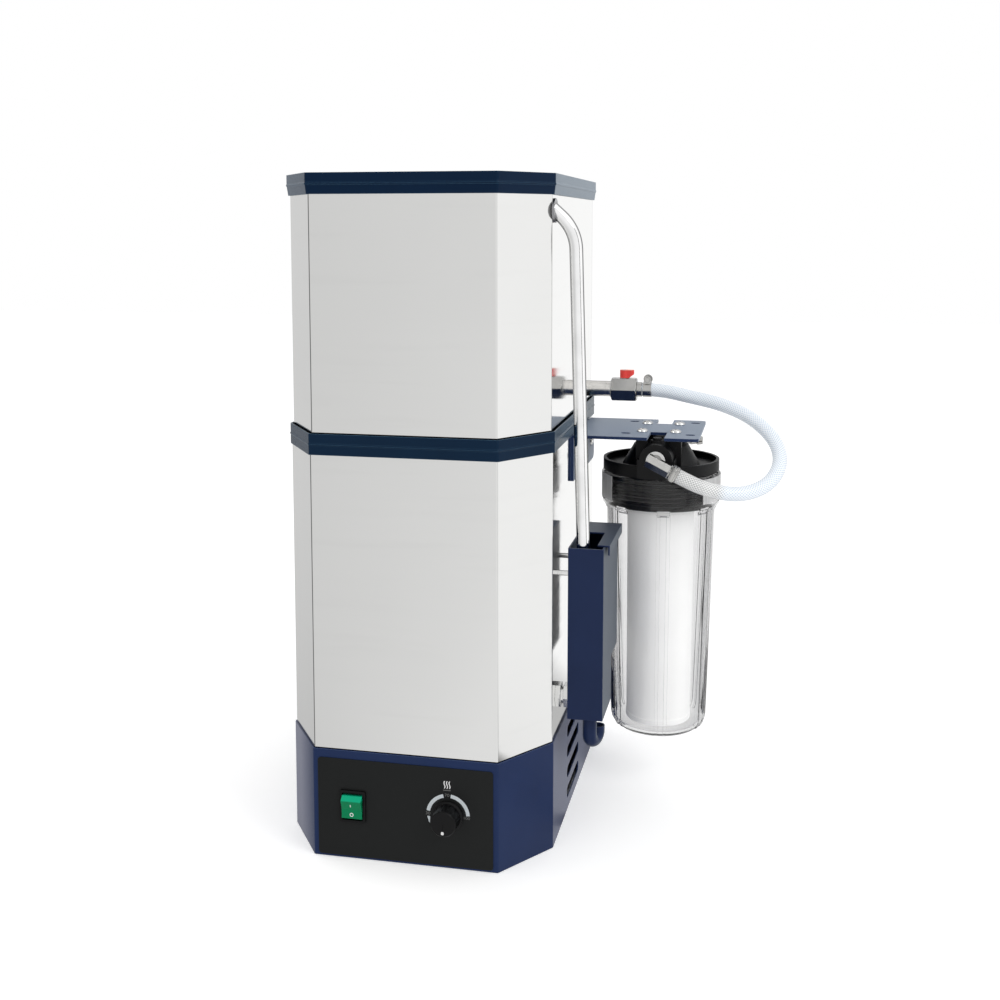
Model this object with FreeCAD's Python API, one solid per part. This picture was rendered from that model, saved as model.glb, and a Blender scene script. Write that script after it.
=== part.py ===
import FreeCAD, Part
import math
import os

# A bench water still: a steel cabinet with eight sides, a boiler in its lower half, a condenser
# in its upper half, a level box and a cartridge filter on its right-hand wall.
# Millimetres. +Z is up, -Y is the front, and the origin is the middle of the floor pan's
# underside.

Vec = FreeCAD.Vector
RIGHT = Vec(1, 0, 0)
LEFT = Vec(-1, 0, 0)
BACK = Vec(0, 1, 0)
FRONT = Vec(0, -1, 0)
UP = Vec(0, 0, 1)
DOWN = Vec(0, 0, -1)

# Clearances
SHAFT_GAP = 0.05        # radial, between a shaft and its bore
SLIDE_GAP = 0.4         # between parts that pass one another
HOLE_GAP = 0.3          # radial, round a pipe or a screw that only passes through
CUT_OVER = 1.0          # how far a cutting tool runs past the face that it opens

# Cabinet
WIDTH = 260.0
DEPTH = 380.0
HALF_WIDTH = WIDTH / 2
HALF_DEPTH = DEPTH / 2
CORNER_X = 41.0         # how much each corner takes off the front
CORNER_Y = 60.0         # how much each corner takes off the side
PAINTED_WALL = 1.3
STEEL_WALL = 1.0
PAINTED_BEND = 2.5      # outer radius of a bend in painted sheet
STEEL_BEND = 2.0
BEAD_PROUD = 0.6        # the rolled bead round the band and the cap
BEAD_HALF = 1.3
BASE_TOP = 104.5
LOWER_HEIGHT = 279.5    # the lower casing's, between the base and the band
BAND_HEIGHT = 19.7
UPPER_HEIGHT = 218.3
CAP_HEIGHT = 19.3
BAND_BOTTOM = BASE_TOP + LOWER_HEIGHT
SHELF_Z = BAND_BOTTOM + 6.0     # underside of the band's shelf
SHELF_WALL = 2.0
SHELF_WIDTH = 12.0
BAND_TOP = BAND_BOTTOM + BAND_HEIGHT
CAP_BOTTOM = BAND_TOP + UPPER_HEIGHT
CAP_TOP = CAP_BOTTOM + CAP_HEIGHT
CAP_TAPER = 1.4         # the cap's lower half leans in by this much
LOWER_INSET = 1.5       # from the outer octagon to the lower casing's outside
UPPER_INSET = 3.25

# Base
VENT_COUNT = 4
VENT_FIRST_Z = 17.5
VENT_PITCH = 21.3
VENT_LENGTH = 76.0
VENT_HEIGHT = 12.0
VENT_Y = -10.0
PAN_WALL = 1.5
PAN_RIM = 11.0
PAD_R = 12.0
PAD_FLANGE = 3.0
PAD_PROUD = 0.5
PAD_X = 80.0
PAD_Y = 140.0
PAN_SCREW_X = 70.0
PAN_SCREW_Z = 6.0
PAN_SCREW_LENGTH = 8.0
PAN_SCREW_HEAD_R = 3.8
PAN_SCREW_HEAD = 2.2
SCREW_R = 2.0

# Control panel, switch and thermostat
PANEL_WIDTH = WIDTH - 2 * CORNER_X - 9.0
PANEL_BOTTOM = 2.0
PANEL_TOP = BASE_TOP - 8.0
PANEL_WALL = 0.8
PANEL_CORNER = 3.0
SWITCH_X = 34.2 - PANEL_WIDTH / 2
SWITCH_Z = 51.3
BEZEL_WIDTH = 25.5
BEZEL_HEIGHT = 31.0
BEZEL_WALL = 2.0
SWITCH_BODY_WIDTH = 21.8
SWITCH_BODY_HEIGHT = 27.8
SWITCH_BODY_DEPTH = 22.0
ROCKER_WIDTH = 19.4
ROCKER_HALF = 12.0      # half height of the rocker
ROCKER_EDGE = 4.8       # from the pivot to its upper and lower edges
ROCKER_NOSE = 9.0       # half height between its two noses
ROCKER_REACH = 9.8      # from the pivot to the noses
ROCKER_DIP = 8.2        # from the pivot to the middle of the rocker's face
ROCKER_TILT = 10.0      # degrees either way
ROCKER_PIVOT_IN = 6.0   # pivot behind the bezel's face
ROCKER_PIN_R = 1.5
KNOB_X = PANEL_WIDTH / 2 - 42.6
KNOB_Z = 51.0
KNOB_SKIRT_R = 14.5
KNOB_BASE_R = 12.8
KNOB_FACE_R = 12.0
KNOB_SKIRT = 3.0
KNOB_HEIGHT = 18.5
KNOB_FLOAT = 0.5        # gap between the knob and the panel
KNOB_RECESS_R = 9.5
KNOB_RECESS = 5.0
KNOB_LINE_WIDTH = 1.4
KNOB_LINE_DEPTH = 0.5
KNOB_FLUTES = 12
KNOB_FLUTE_R = 1.6
SHAFT_R = 3.0
SHAFT_FLAT = 1.5        # from the axis to the shaft's flat
SHAFT_IN = 6.0          # how far the shaft reaches into the thermostat
BUSH_R = 4.9
BUSH_NUT_FLATS = 14.0
BUSH_NUT_WALL = 2.4
THERMOSTAT_SIZE = 38.0
THERMOSTAT_DEPTH = 22.0
TERMINAL_SIZE = (56.0, 22.0, 18.0)
TERMINAL_Y = 120.0
GLAND_X = -60.0
GLAND_Z = 42.0
GLAND_BORE_R = 4.5
GLAND_THREAD_R = 7.8
GLAND_FLATS = 22.0

# Boiler
TANK_INSET = 25.0
TANK_WALL = 1.2
TANK_TOP = BAND_BOTTOM - 24.0
TANK_BEND = 12.0
LID_WALL = 1.5
LID_LAP = 1.5           # how far the lid stands out past the tank
TRAY_FLOOR = SHELF_Z + SHELF_WALL + 11.0
TRAY_RIM = TRAY_FLOOR + 18.0
RISER_R = 30.0
RISER_TOP = TRAY_RIM + 11.0
HOOD_R = 44.0
HOOD_BOTTOM = RISER_TOP + 12.0
HOOD_TOP = HOOD_BOTTOM + 18.0
HOOD_WALL = 1.0
HOOD_LEGS = 3
HOOD_LEG_WIDTH = 8.0
HEATER_R = 4.2
HEATER_X = 32.0
HEATER_Y = 110.0
HEATER_Z = 140.0
HEATER_TAIL = 16.0      # below the base's top plate
HEATER_BEND = 18.0
HEATER_FLATS = 15.0
HEATER_NUT_WALL = 8.0
PROBE_X = 60.0
PROBE_Y = -90.0
PROBE_R = 3.0
PROBE_TOP = 170.0
PROBE_FLATS = 13.0

# Condenser
TRAY_GAP = 0.35
TRAY_WALL = 1.0
COLLAR_GAP = 1.5        # between the riser and the tray's collar
DISTILLATE_X = -60.0
DISTILLATE_Z = TRAY_FLOOR + 8.0
DISTILLATE_R = 5.0
DISTILLATE_BORE_R = 3.8
DISTILLATE_IN = 7.0     # how far it reaches in past the casing's outside
DISTILLATE_SHOULDER = 2.0       # from its nut to where the hose tail starts
DISTILLATE_TAIL_R = 4.75
DISTILLATE_TAIL = 27.0
DISTILLATE_FLATS = 14.0
DISTILLATE_NUT = 5.0
COIL_R = 6.35
COIL_X = HALF_WIDTH - 60.0
COIL_PITCH = 40.0
COIL_TIERS = 5
COIL_END_Y = 110.0
COIL_BEND = 19.0
COIL_HUMP_BEND = 14.0
COIL_HUMP = 17.5        # from the hump's corner to the joint with the outlet tube
HANGER_Y = 62.0
HANGER_WIDTH = 26.0
HANGER_WALL = 2.0

# Cooling water outlet: a bright tube that drops into the level box
OUTLET_R = 6.35
OUTLET_BORE_R = 5.35
OUTLET_INNER_X = HALF_WIDTH - 18.0
OUTLET_INNER_Y = -HALF_DEPTH + 67.0
OUTLET_CORNER_X = HALF_WIDTH + 17.0
OUTLET_CORNER_Y = -HALF_DEPTH + 70.0
OUTLET_CORNER_DROP = 32.0
OUTLET_END_X = HALF_WIDTH + 24.5
OUTLET_END_Y = -HALF_DEPTH + 81.0
OUTLET_END_DROP = 5.5   # how far it hangs into the level box
OUTLET_BEND = 43.0
OUTLET_FLANGE_R = 11.25
OUTLET_FLANGE_WALL = 2.2

# Level box
BOX_GAP = 12.9          # between the casing and the box
BOX_WIDTH = 33.8
BOX_FRONT = -120.0
BOX_BACK = -13.0
BOX_STEP_BACK = -57.0
BOX_TOP = 291.5
BOX_STEP_Z = 169.0
BOX_BOTTOM = 125.0
BOX_WALL = 1.5
COVER_OVERHANG = 4.3
COVER_FRONT = -109.0
COVER_BACK = -12.5
COVER_MOUTH_X = 26.6    # width of the open mouth, from the box's left face
COVER_MOUTH_Y = -57.0
COVER_LIP = 8.0
SPACER_R = 6.0
SPACER_Z = 262.0
SPACER_YS = (-100.0, -34.0)
BOX_SCREW_R = 2.5
BOX_SCREW_HEAD_R = 4.6
BOX_SCREW_HEAD = 2.4
BOX_NUT_FLATS = 8.0
BOX_NUT_WALL = 4.0
LEVEL_PIPE_Y = -105.0
LEVEL_PIPE_Z = 143.4
LEVEL_PIPE_R = 8.5
LEVEL_PIPE_BORE_R = 6.5
LEVEL_NUT_FLATS = 21.0
LEVEL_NUT_WALL = 5.0
DRAIN_IN = 20.1         # from the box's left face
DRAIN_Y = -108.0
DRAIN_R = 6.8
DRAIN_BORE_R = 5.6
DRAIN_TOP = 215.0
DRAIN_BEND = 7.5
DRAIN_HEADING = 67.0    # degrees from the right towards the back
DRAIN_TAIL = 4.6        # straight run after the bend
DRAIN_LOW_Z = 92.6

# Water inlet
INLET_Y = 100.0
INLET_Z = TRAY_FLOOR + 13.5
INLET_R = 8.5
INLET_INNER_X = HALF_WIDTH - 20.0
INLET_END_X = HALF_WIDTH + 22.5
INLET_NUT_FLATS = 22.0
INLET_NUT_WALL = 6.0
RING_R = 9.5
RING_WALL = 1.0
VALVE_FLATS = 24.0
VALVE_CHAMFER = 1.3
VALVE_END_X = HALF_WIDTH + 51.0
VALVE_BORE_R = 5.0
BALL_R = 8.0
BALL_FLAT = 7.0         # height of the ball's flat, under the stem
STEM_R = 3.0
STEM_TOP = 3.5          # how far the stem stands into the handle
HANDLE_HUB_R = 5.0
HANDLE_REACH = 10.6     # from the stem to the lever's end
HANDLE_WIDTH = 8.5
HANDLE_END_R = 3.5
HANDLE_HEIGHT = 8.8
HANDLE_UNDERCUT = 5.0   # how far the lever's end is cut up from below
HANDLE_SCREW_R = 2.6
HANDLE_SCREW_WALL = 1.2
TAIL_FLANGE_R = 8.0
TAIL_FLANGE = 5.5
BARB_R = 4.9
BARB_BORE_R = 3.4
BARB_DROP = 0.7
BARB_COUNT = 3

# Hose from the filter to the inlet
HOSE_R = 7.25
HOSE_SEAT_R = 4.95
HOSE_SEAT_START = 11.0
HOSE_SEAT_END = 8.4
HOSE_TURNS = (          # from the cabinet's side, the inlet's middle and its height
    (78, 0, 0), (110, -3, -6.5), (141, -12, -11.5), (174, -27, -22.5), (200, -52, -41.5),
    (207, -79, -62.5), (194, -106, -80.5), (166, -126, -87.5), (133, -134, -80.5))
HOSE_LAST_RUN = 15.7
CLAMP_WIDTH = 9.0
CLAMP_WALL = 0.8
CLAMP_START = 5.9       # from the hose's end to the middle of its clamp
CLAMP_SCREW_OUT = 11.0  # from the hose's axis to the screw's axis
CLAMP_TUNNEL_R = 3.7
CLAMP_TUNNEL_TIP = 4.5  # reach of the screw's tunnel towards its tip
CLAMP_TUNNEL_HEAD = 5.5         # and towards its head
CLAMP_SCREW_R = 2.7
CLAMP_TIP = 1.2         # how far the screw's tip stands out
CLAMP_DISC_R = 5.0
CLAMP_DISC = 1.2
CLAMP_HEAD_R = 3.8
CLAMP_HEAD = 3.2
CLAMP_SLOT_WIDTH = 1.0
CLAMP_SLOT_DEPTH = 1.4

# Filter
FILTER_X = HALF_WIDTH + 83.5
FILTER_Y = 40.5
BRACKET_WALL = 3.0
BRACKET_FRONT = -26.0
BRACKET_BACK = 100.0
BRACKET_RIGHT = HALF_WIDTH + 126.0
BRACKET_TOP = BAND_BOTTOM
BRACKET_BOTTOM = BRACKET_TOP - 47.0
BRACKET_CORNER = 5.0
FLANGE_BACK = 120.0     # the flange on the casing reaches further back than the shelf
FLANGE_CORNER = 8.0
BRACKET_SCREW_Z = BRACKET_TOP - 24.0
BRACKET_SCREW_YS = (-8.0, 96.0)
NOTCH_HALF = 8.5
NOTCH_REACH = 29.5      # from the filter's axis to the notches' inner ends
FILTER_SCREW_X = 34.0
FILTER_SCREW_Y = 54.0
FILTER_SCREW_R = 3.0
FILTER_SCREW_HEAD_R = 5.7
FILTER_SCREW_HEAD = 3.2
FILTER_SCREW_DEPTH = 14.0
SPARE_SLOT_X = 65.0
SPARE_SLOT_Y = 82.0
SPARE_SLOT_R = 3.3
SPARE_SLOT_RUN = 3.4    # between the centres of a slot's two ends
RIM_R = 60.0
RIM_TOP = BRACKET_TOP - 30.5
RIM_BOTTOM = RIM_TOP - 11.7
RIM_WALL = 3.0
DISH_Z = RIM_TOP - 6.5
DISH_WALL = 3.5
HUB_BASE_R = 40.0
HUB_TOP_R = 28.0
HUB_TOP = BRACKET_TOP - 16.0
HUB_WALL = 4.0
POST_SIZE = 12.0
PORT_Z = BRACKET_TOP - 24.0
PORT_R = 16.5
PORT_REACH = 63.0
PORT_BORE_R = 9.0
PORT_BORE = 34.0
PORT_FOOT_HALF = 18.5
SKIRT_R = 52.6
SKIRT_BOTTOM = RIM_BOTTOM - 33.8
SKIRT_WALL = 5.0
THREAD_RIDGES = 6
THREAD_PITCH = 4.4
THREAD_DEPTH = 2.6
SPIGOT_R = 13.0
SPIGOT_BORE_R = 6.0
SPIGOT_BOTTOM = SKIRT_BOTTOM + 10.0
SEAL_R = 2.0
BOWL_TOP_R = 56.5
BOWL_LOW_R = 50.0
BOWL_SHOULDER_Z = SKIRT_BOTTOM - 3.0
BOWL_LENGTH = 246.0     # below the head's skirt
BOWL_BOTTOM = SKIRT_BOTTOM - BOWL_LENGTH
BOWL_LOW_Z = BOWL_BOTTOM + 14.0
BOWL_FLOOR_R = 34.0
BOWL_WALL = 3.2
COLLAR_R = 61.5
COLLAR_BOTTOM = SKIRT_BOTTOM + 3.0
COLLAR_TOP = RIM_BOTTOM - 2.2
RIB_PAIRS = 6
RIB_WIDTH = 1.8
RIB_PROUD = 1.0
RIB_SPACING = 9.5       # degrees between the two ribs of a pair
BOWL_TURN = 8.0         # degrees the bowl stands turned when it is screwed home
LUG_COUNT = 8
LUG_WIDTH = 12.0
LUG_DROP = 5.0
CARTRIDGE_R = 32.0
CARTRIDGE_BORE_R = 14.0
CARTRIDGE_BOTTOM = BOWL_BOTTOM + 10.0
CARTRIDGE_TOP = SPIGOT_BOTTOM + 4.0
CARTRIDGE_CAP = 5.0
BUTTON_R = 4.5
BUTTON_Y = -45.0        # from the filter's axis
BUTTON_TOP = PORT_Z + 21.0
BUTTON_BOTTOM = BUTTON_TOP - 9.5
BUTTON_TRAVEL = 2.0
BUTTON_SOCKET_R = 7.0
BUTTON_SOCKET_TOP = BUTTON_TOP - 2.4
WASHER_R = 9.6
WASHER_WALL = 1.5
FITTING_FLATS = 13.0
FITTING_TILT = 27.0     # degrees below level, towards the hose
FITTING_BACK = 8.0
FITTING_REACH = 16.3    # from the port's axis to the shoulder that the hose stops at
FITTING_STEM_R = 6.5
FITTING_AXIS_OUT = 13.5
FITTING_THREAD = 14.0
SUPPLY_TAIL = 22.0

os.makedirs("parts", exist_ok=True)


def export(name, solids):
    """Write one node: a single solid, or a group of separate ones."""
    shape = solids[0] if len(solids) == 1 else Part.makeCompound(solids)
    shape.exportStep("parts/" + name + ".step")


def block(x_low, x_high, y_low, y_high, z_low, z_high):
    corner = Vec(x_low, y_low, z_low)
    return Part.makeBox(x_high - x_low, y_high - y_low, z_high - z_low, corner)


def rod(start, direction, length, radius):
    return Part.makeCylinder(radius, length, start, direction)


def sleeve(start, direction, length, outer, inner):
    return rod(start, direction, length, outer).cut(rod(start, direction, length, inner))


def rounded_wire(corners, radius):
    """A closed outline of straight sides whose corners are arcs of one radius."""
    if radius <= 0:
        return Part.makePolygon(corners + corners[:1])
    edges = []
    starts = []
    ends = []
    middles = []
    count = len(corners)
    for index, corner in enumerate(corners):
        back = (corners[index - 1] - corner).normalize()
        onward = (corners[(index + 1) % count] - corner).normalize()
        half_turn = (math.pi - back.getAngle(onward)) / 2
        tangent = radius * math.tan(half_turn)
        starts.append(corner + back * tangent)
        ends.append(corner + onward * tangent)
        bisector = (back + onward).normalize()
        middles.append(corner + bisector * (radius / math.cos(half_turn) - radius))
    for index in range(count):
        edges.append(Part.Arc(starts[index], middles[index], ends[index]).toShape())
        following = starts[(index + 1) % count]
        edges.append(Part.LineSegment(ends[index], following).toShape())
    return Part.Wire(edges)


def plate(corners, radius, thickness):
    """A flat sheet with rounded corners, pushed along the vector thickness."""
    return Part.Face(rounded_wire(corners, radius)).extrude(thickness)


def octagon(inset, z):
    """The cabinet's plan, moved in by inset on every side."""
    half_x = WIDTH / 2 - inset
    half_y = DEPTH / 2 - inset
    slope_x = 1 / CORNER_X
    slope_y = 1 / CORNER_Y
    kept = 1 - inset * (slope_x + slope_y - math.hypot(slope_x, slope_y))
    run_x = half_x - CORNER_X * kept
    run_y = half_y - CORNER_Y * kept
    return [
        Vec(run_x, -half_y, z), Vec(half_x, -run_y, z), Vec(half_x, run_y, z),
        Vec(run_x, half_y, z), Vec(-run_x, half_y, z), Vec(-half_x, run_y, z),
        Vec(-half_x, -run_y, z), Vec(-run_x, -half_y, z)]


def octagon_prism(inset, z_low, z_high, bend):
    return plate(octagon(inset, z_low), bend, Vec(0, 0, z_high - z_low))


def octagon_wall(inset, wall, z_low, z_high, bend):
    inner = octagon_prism(inset + wall, z_low, z_high, max(bend - wall, 0.2))
    return octagon_prism(inset, z_low, z_high, bend).cut(inner)


def octagon_taper(inset_low, z_low, inset_high, z_high, bend):
    low = rounded_wire(octagon(inset_low, z_low), bend)
    high = rounded_wire(octagon(inset_high, z_high), bend)
    return Part.makeLoft([low, high], True, True)


def bead(z):
    """The rolled bead round a painted trim, as a low ridge."""
    lower = octagon_taper(0, z - BEAD_HALF, -BEAD_PROUD, z, PAINTED_BEND)
    upper = octagon_taper(-BEAD_PROUD, z, 0, z + BEAD_HALF, PAINTED_BEND)
    return lower.fuse(upper)


def turned(profile, centre, axis):
    """A solid of revolution: profile holds (radius, distance along the axis)."""
    corners = [Vec(radius, 0, along) for radius, along in profile]
    face = Part.Face(Part.makePolygon(corners + corners[:1]))
    solid = face.revolve(Vec(0, 0, 0), UP, 360)
    solid.Placement = FreeCAD.Placement(centre, FreeCAD.Rotation(UP, axis))
    return solid


def hexagon(start, direction, length, flats, turn=0.0):
    """A six-sided bar. With turn 0 and a level direction, two of its flats are level."""
    corner_r = flats / math.sqrt(3)
    corners = []
    for index in range(6):
        angle = math.radians(60 * index + turn)
        corners.append(Vec(corner_r * math.cos(angle), corner_r * math.sin(angle), 0))
    bar = plate(corners, 0, Vec(0, 0, length))
    side = UP.cross(direction)
    if side.Length < 0.001:
        side = RIGHT
    matrix_turn = FreeCAD.Rotation(side, direction.cross(side), direction, "ZXY")
    bar.Placement = FreeCAD.Placement(start, matrix_turn)
    return bar


def nut(start, direction, length, flats, bore):
    return hexagon(start, direction, length, flats).cut(rod(start, direction, length, bore))


def bent_path(points, radii):
    """Straight runs joined by tangent arcs: one radius for each inner point."""
    edges = []
    start = points[0]
    for before, here, after, radius in zip(points, points[1:], points[2:], radii):
        back = (before - here).normalize()
        onward = (after - here).normalize()
        half_turn = (math.pi - back.getAngle(onward)) / 2
        tangent = radius * math.tan(half_turn)
        bisector = (back + onward).normalize()
        middle = here + bisector * (radius / math.cos(half_turn) - radius)
        arc_start = here + back * tangent
        arc_end = here + onward * tangent
        if (arc_start - start).Length > 0.01:
            edges.append(Part.LineSegment(start, arc_start).toShape())
        edges.append(Part.Arc(arc_start, middle, arc_end).toShape())
        start = arc_end
    edges.append(Part.LineSegment(start, points[-1]).toShape())
    return Part.Wire(edges)


def bent_rod(points, radii, thickness_r):
    path = bent_path(points, radii)
    direction = (points[1] - points[0]).normalize()
    ring = Part.Wire(Part.Circle(points[0], direction, thickness_r).toShape())
    return path.makePipe(Part.Face(ring))


def pan_head_screw(seat, direction, length, radius, head_r, head_height):
    """A screw with its head on the seat: direction points from the head into the work."""
    shank = rod(seat, direction, length, radius)
    away = direction * -1
    head = turned(((0, 0), (head_r, 0), (head_r * 0.92, head_height * 0.45),
                   (head_r * 0.6, head_height * 0.85), (0, head_height)), seat, away)
    return shank.fuse(head)


def obround(centre, run, radius, depth):
    """A slot tool: run joins the centres of its two round ends."""
    start = centre - run * 0.5
    finish = centre + run * 0.5
    side = depth.cross(run).normalize() * radius
    middle = Part.Face(Part.makePolygon([start - side, finish - side, finish + side,
                                         start + side, start - side])).extrude(depth)
    along = Vec(depth).normalize()
    ends = [rod(point, along, depth.Length, radius) for point in (start, finish)]
    return middle.fuse(ends)


# ---------------------------------------------------------------- base

FRONT_Y = -DEPTH / 2
BACK_Y = DEPTH / 2
PANEL_Y = FRONT_Y - PANEL_WALL
BEZEL_Y = PANEL_Y - BEZEL_WALL
ROCKER_Y = BEZEL_Y + ROCKER_PIVOT_IN
BASE_PLATE_Z = BASE_TOP - PAINTED_WALL


def base_housing():
    shell = octagon_prism(0, 0, BASE_TOP, PAINTED_BEND)
    hollow = octagon_prism(PAINTED_WALL, -CUT_OVER, BASE_PLATE_Z, PAINTED_BEND - PAINTED_WALL)
    shell = shell.cut(hollow)
    cuts = [switch_cutout(), rod(Vec(KNOB_X, PANEL_Y, KNOB_Z), BACK, 9, BUSH_R + HOLE_GAP)]
    run = Vec(0, VENT_LENGTH - VENT_HEIGHT, 0)
    for row in range(VENT_COUNT):
        z = VENT_FIRST_Z + row * VENT_PITCH
        centre = Vec(-WIDTH / 2 - CUT_OVER, VENT_Y, z)
        cuts.append(obround(centre, run, VENT_HEIGHT / 2, Vec(WIDTH + 2 * CUT_OVER, 0, 0)))
    cuts.append(rod(Vec(GLAND_X, BACK_Y + CUT_OVER, GLAND_Z), FRONT, 9,
                    GLAND_THREAD_R + HOLE_GAP))
    for x in (-HEATER_X, HEATER_X):
        cuts.append(rod(Vec(x, 0, BASE_PLATE_Z - CUT_OVER), UP, 9, HEATER_R + HOLE_GAP))
    cuts.append(rod(Vec(PROBE_X, PROBE_Y, BASE_PLATE_Z - CUT_OVER), UP, 9,
                    PROBE_R + HOLE_GAP))
    cuts.extend(pan_screw_holes())
    return shell.cut(cuts)


def switch_cutout():
    half_x = SWITCH_BODY_WIDTH / 2 + SHAFT_GAP
    half_z = SWITCH_BODY_HEIGHT / 2 + SHAFT_GAP
    return block(SWITCH_X - half_x, SWITCH_X + half_x, PANEL_Y - CUT_OVER, FRONT_Y + 5,
                 SWITCH_Z - half_z, SWITCH_Z + half_z)


def pan_screw_holes():
    depth = PAINTED_WALL + PAN_WALL + 2 * CUT_OVER
    return [rod(Vec(x, BACK_Y + CUT_OVER, PAN_SCREW_Z), FRONT, depth, SCREW_R + SHAFT_GAP)
            for x in (-PAN_SCREW_X, PAN_SCREW_X)]


def base_floor():
    pan = octagon_prism(PAINTED_WALL, 0, PAN_RIM, PAINTED_BEND - PAINTED_WALL)
    inside = octagon_prism(PAINTED_WALL + PAN_WALL, PAN_WALL, PAN_RIM + CUT_OVER, 0.5)
    pan = pan.cut(inside)
    holes = [rod(Vec(x, y, -CUT_OVER), UP, PAN_WALL + 2 * CUT_OVER, PAD_R + SHAFT_GAP)
             for x, y in pad_places()]
    return pan.cut(holes + pan_screw_holes())


def pad_places():
    return [(x, y) for x in (-PAD_X, PAD_X) for y in (-PAD_Y, PAD_Y)]


def rubber_pads():
    pads = []
    for x, y in pad_places():
        foot = rod(Vec(x, y, -PAD_PROUD), UP, PAD_PROUD + PAN_WALL, PAD_R)
        flange = rod(Vec(x, y, PAN_WALL), UP, 2.0, PAD_R + PAD_FLANGE)
        pads.append(foot.fuse(flange))
    return pads


def pan_screws():
    return [pan_head_screw(Vec(x, BACK_Y, PAN_SCREW_Z), FRONT, PAN_SCREW_LENGTH, SCREW_R,
                           PAN_SCREW_HEAD_R, PAN_SCREW_HEAD)
            for x in (-PAN_SCREW_X, PAN_SCREW_X)]


def control_panel():
    half = PANEL_WIDTH / 2
    corners = [Vec(-half, FRONT_Y, PANEL_BOTTOM), Vec(half, FRONT_Y, PANEL_BOTTOM),
               Vec(half, FRONT_Y, PANEL_TOP), Vec(-half, FRONT_Y, PANEL_TOP)]
    sheet = plate(corners, PANEL_CORNER, Vec(0, -PANEL_WALL, 0))
    bush_hole = rod(Vec(KNOB_X, PANEL_Y - CUT_OVER, KNOB_Z), BACK, 9, BUSH_R + HOLE_GAP)
    return sheet.cut([switch_cutout(), bush_hole])


def switch_frame():
    half_x = BEZEL_WIDTH / 2
    half_z = BEZEL_HEIGHT / 2
    corners = [Vec(SWITCH_X - half_x, PANEL_Y, SWITCH_Z - half_z),
               Vec(SWITCH_X + half_x, PANEL_Y, SWITCH_Z - half_z),
               Vec(SWITCH_X + half_x, PANEL_Y, SWITCH_Z + half_z),
               Vec(SWITCH_X - half_x, PANEL_Y, SWITCH_Z + half_z)]
    bezel = plate(corners, 2.0, Vec(0, -BEZEL_WALL, 0))
    body_x = SWITCH_BODY_WIDTH / 2
    body_z = SWITCH_BODY_HEIGHT / 2
    body_back = PANEL_Y + SWITCH_BODY_DEPTH
    body = block(SWITCH_X - body_x, SWITCH_X + body_x, PANEL_Y, body_back,
                 SWITCH_Z - body_z, SWITCH_Z + body_z)
    well_x = ROCKER_WIDTH / 2 + 0.35
    well_z = rocker_swing() + SLIDE_GAP
    well = block(SWITCH_X - well_x, SWITCH_X + well_x, BEZEL_Y - CUT_OVER, body_back - 5,
                 SWITCH_Z - well_z, SWITCH_Z + well_z)
    pin = rod(Vec(SWITCH_X - body_x, ROCKER_Y, SWITCH_Z), RIGHT, SWITCH_BODY_WIDTH,
              ROCKER_PIN_R + SHAFT_GAP)
    frame = bezel.fuse(body).cut([well, pin])
    blades = [block(SWITCH_X - 3, SWITCH_X + 3, body_back, body_back + 9, z - 0.4, z + 0.4)
              for z in (SWITCH_Z - 8, SWITCH_Z + 8)]
    return frame.fuse(blades)


def rocker_swing():
    """Half height that the rocker sweeps when one end is pressed."""
    reach = math.hypot(ROCKER_HALF, ROCKER_EDGE)
    angle = math.atan2(ROCKER_HALF, ROCKER_EDGE) + math.radians(ROCKER_TILT)
    return reach * math.sin(angle)


def switch_rocker():
    """Rests with its top end out, so it is tilted about its pins."""
    outline = [Vec(0, -ROCKER_EDGE, ROCKER_HALF), Vec(0, -ROCKER_REACH, ROCKER_NOSE),
               Vec(0, -ROCKER_DIP, 0), Vec(0, -ROCKER_REACH, -ROCKER_NOSE),
               Vec(0, -ROCKER_EDGE, -ROCKER_HALF), Vec(0, 1, -ROCKER_HALF + 1.5),
               Vec(0, 4, -2.5), Vec(0, 4, 2.5), Vec(0, 1, ROCKER_HALF - 1.5)]
    body = plate(outline, 0.8, Vec(ROCKER_WIDTH, 0, 0))
    body.translate(Vec(-ROCKER_WIDTH / 2, 0, 0))
    pin_length = SWITCH_BODY_WIDTH - 0.2
    pin = rod(Vec(-pin_length / 2, 0, 0), RIGHT, pin_length, ROCKER_PIN_R)
    rocker = body.fuse(pin)
    rocker.rotate(Vec(0, 0, 0), RIGHT, ROCKER_TILT)
    rocker.translate(Vec(SWITCH_X, ROCKER_Y, SWITCH_Z))
    return rocker


KNOB_SEAT_Y = PANEL_Y - KNOB_FLOAT
KNOB_FACE_Y = KNOB_SEAT_Y - KNOB_HEIGHT
KNOB_BORE = KNOB_HEIGHT - 4.0


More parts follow.
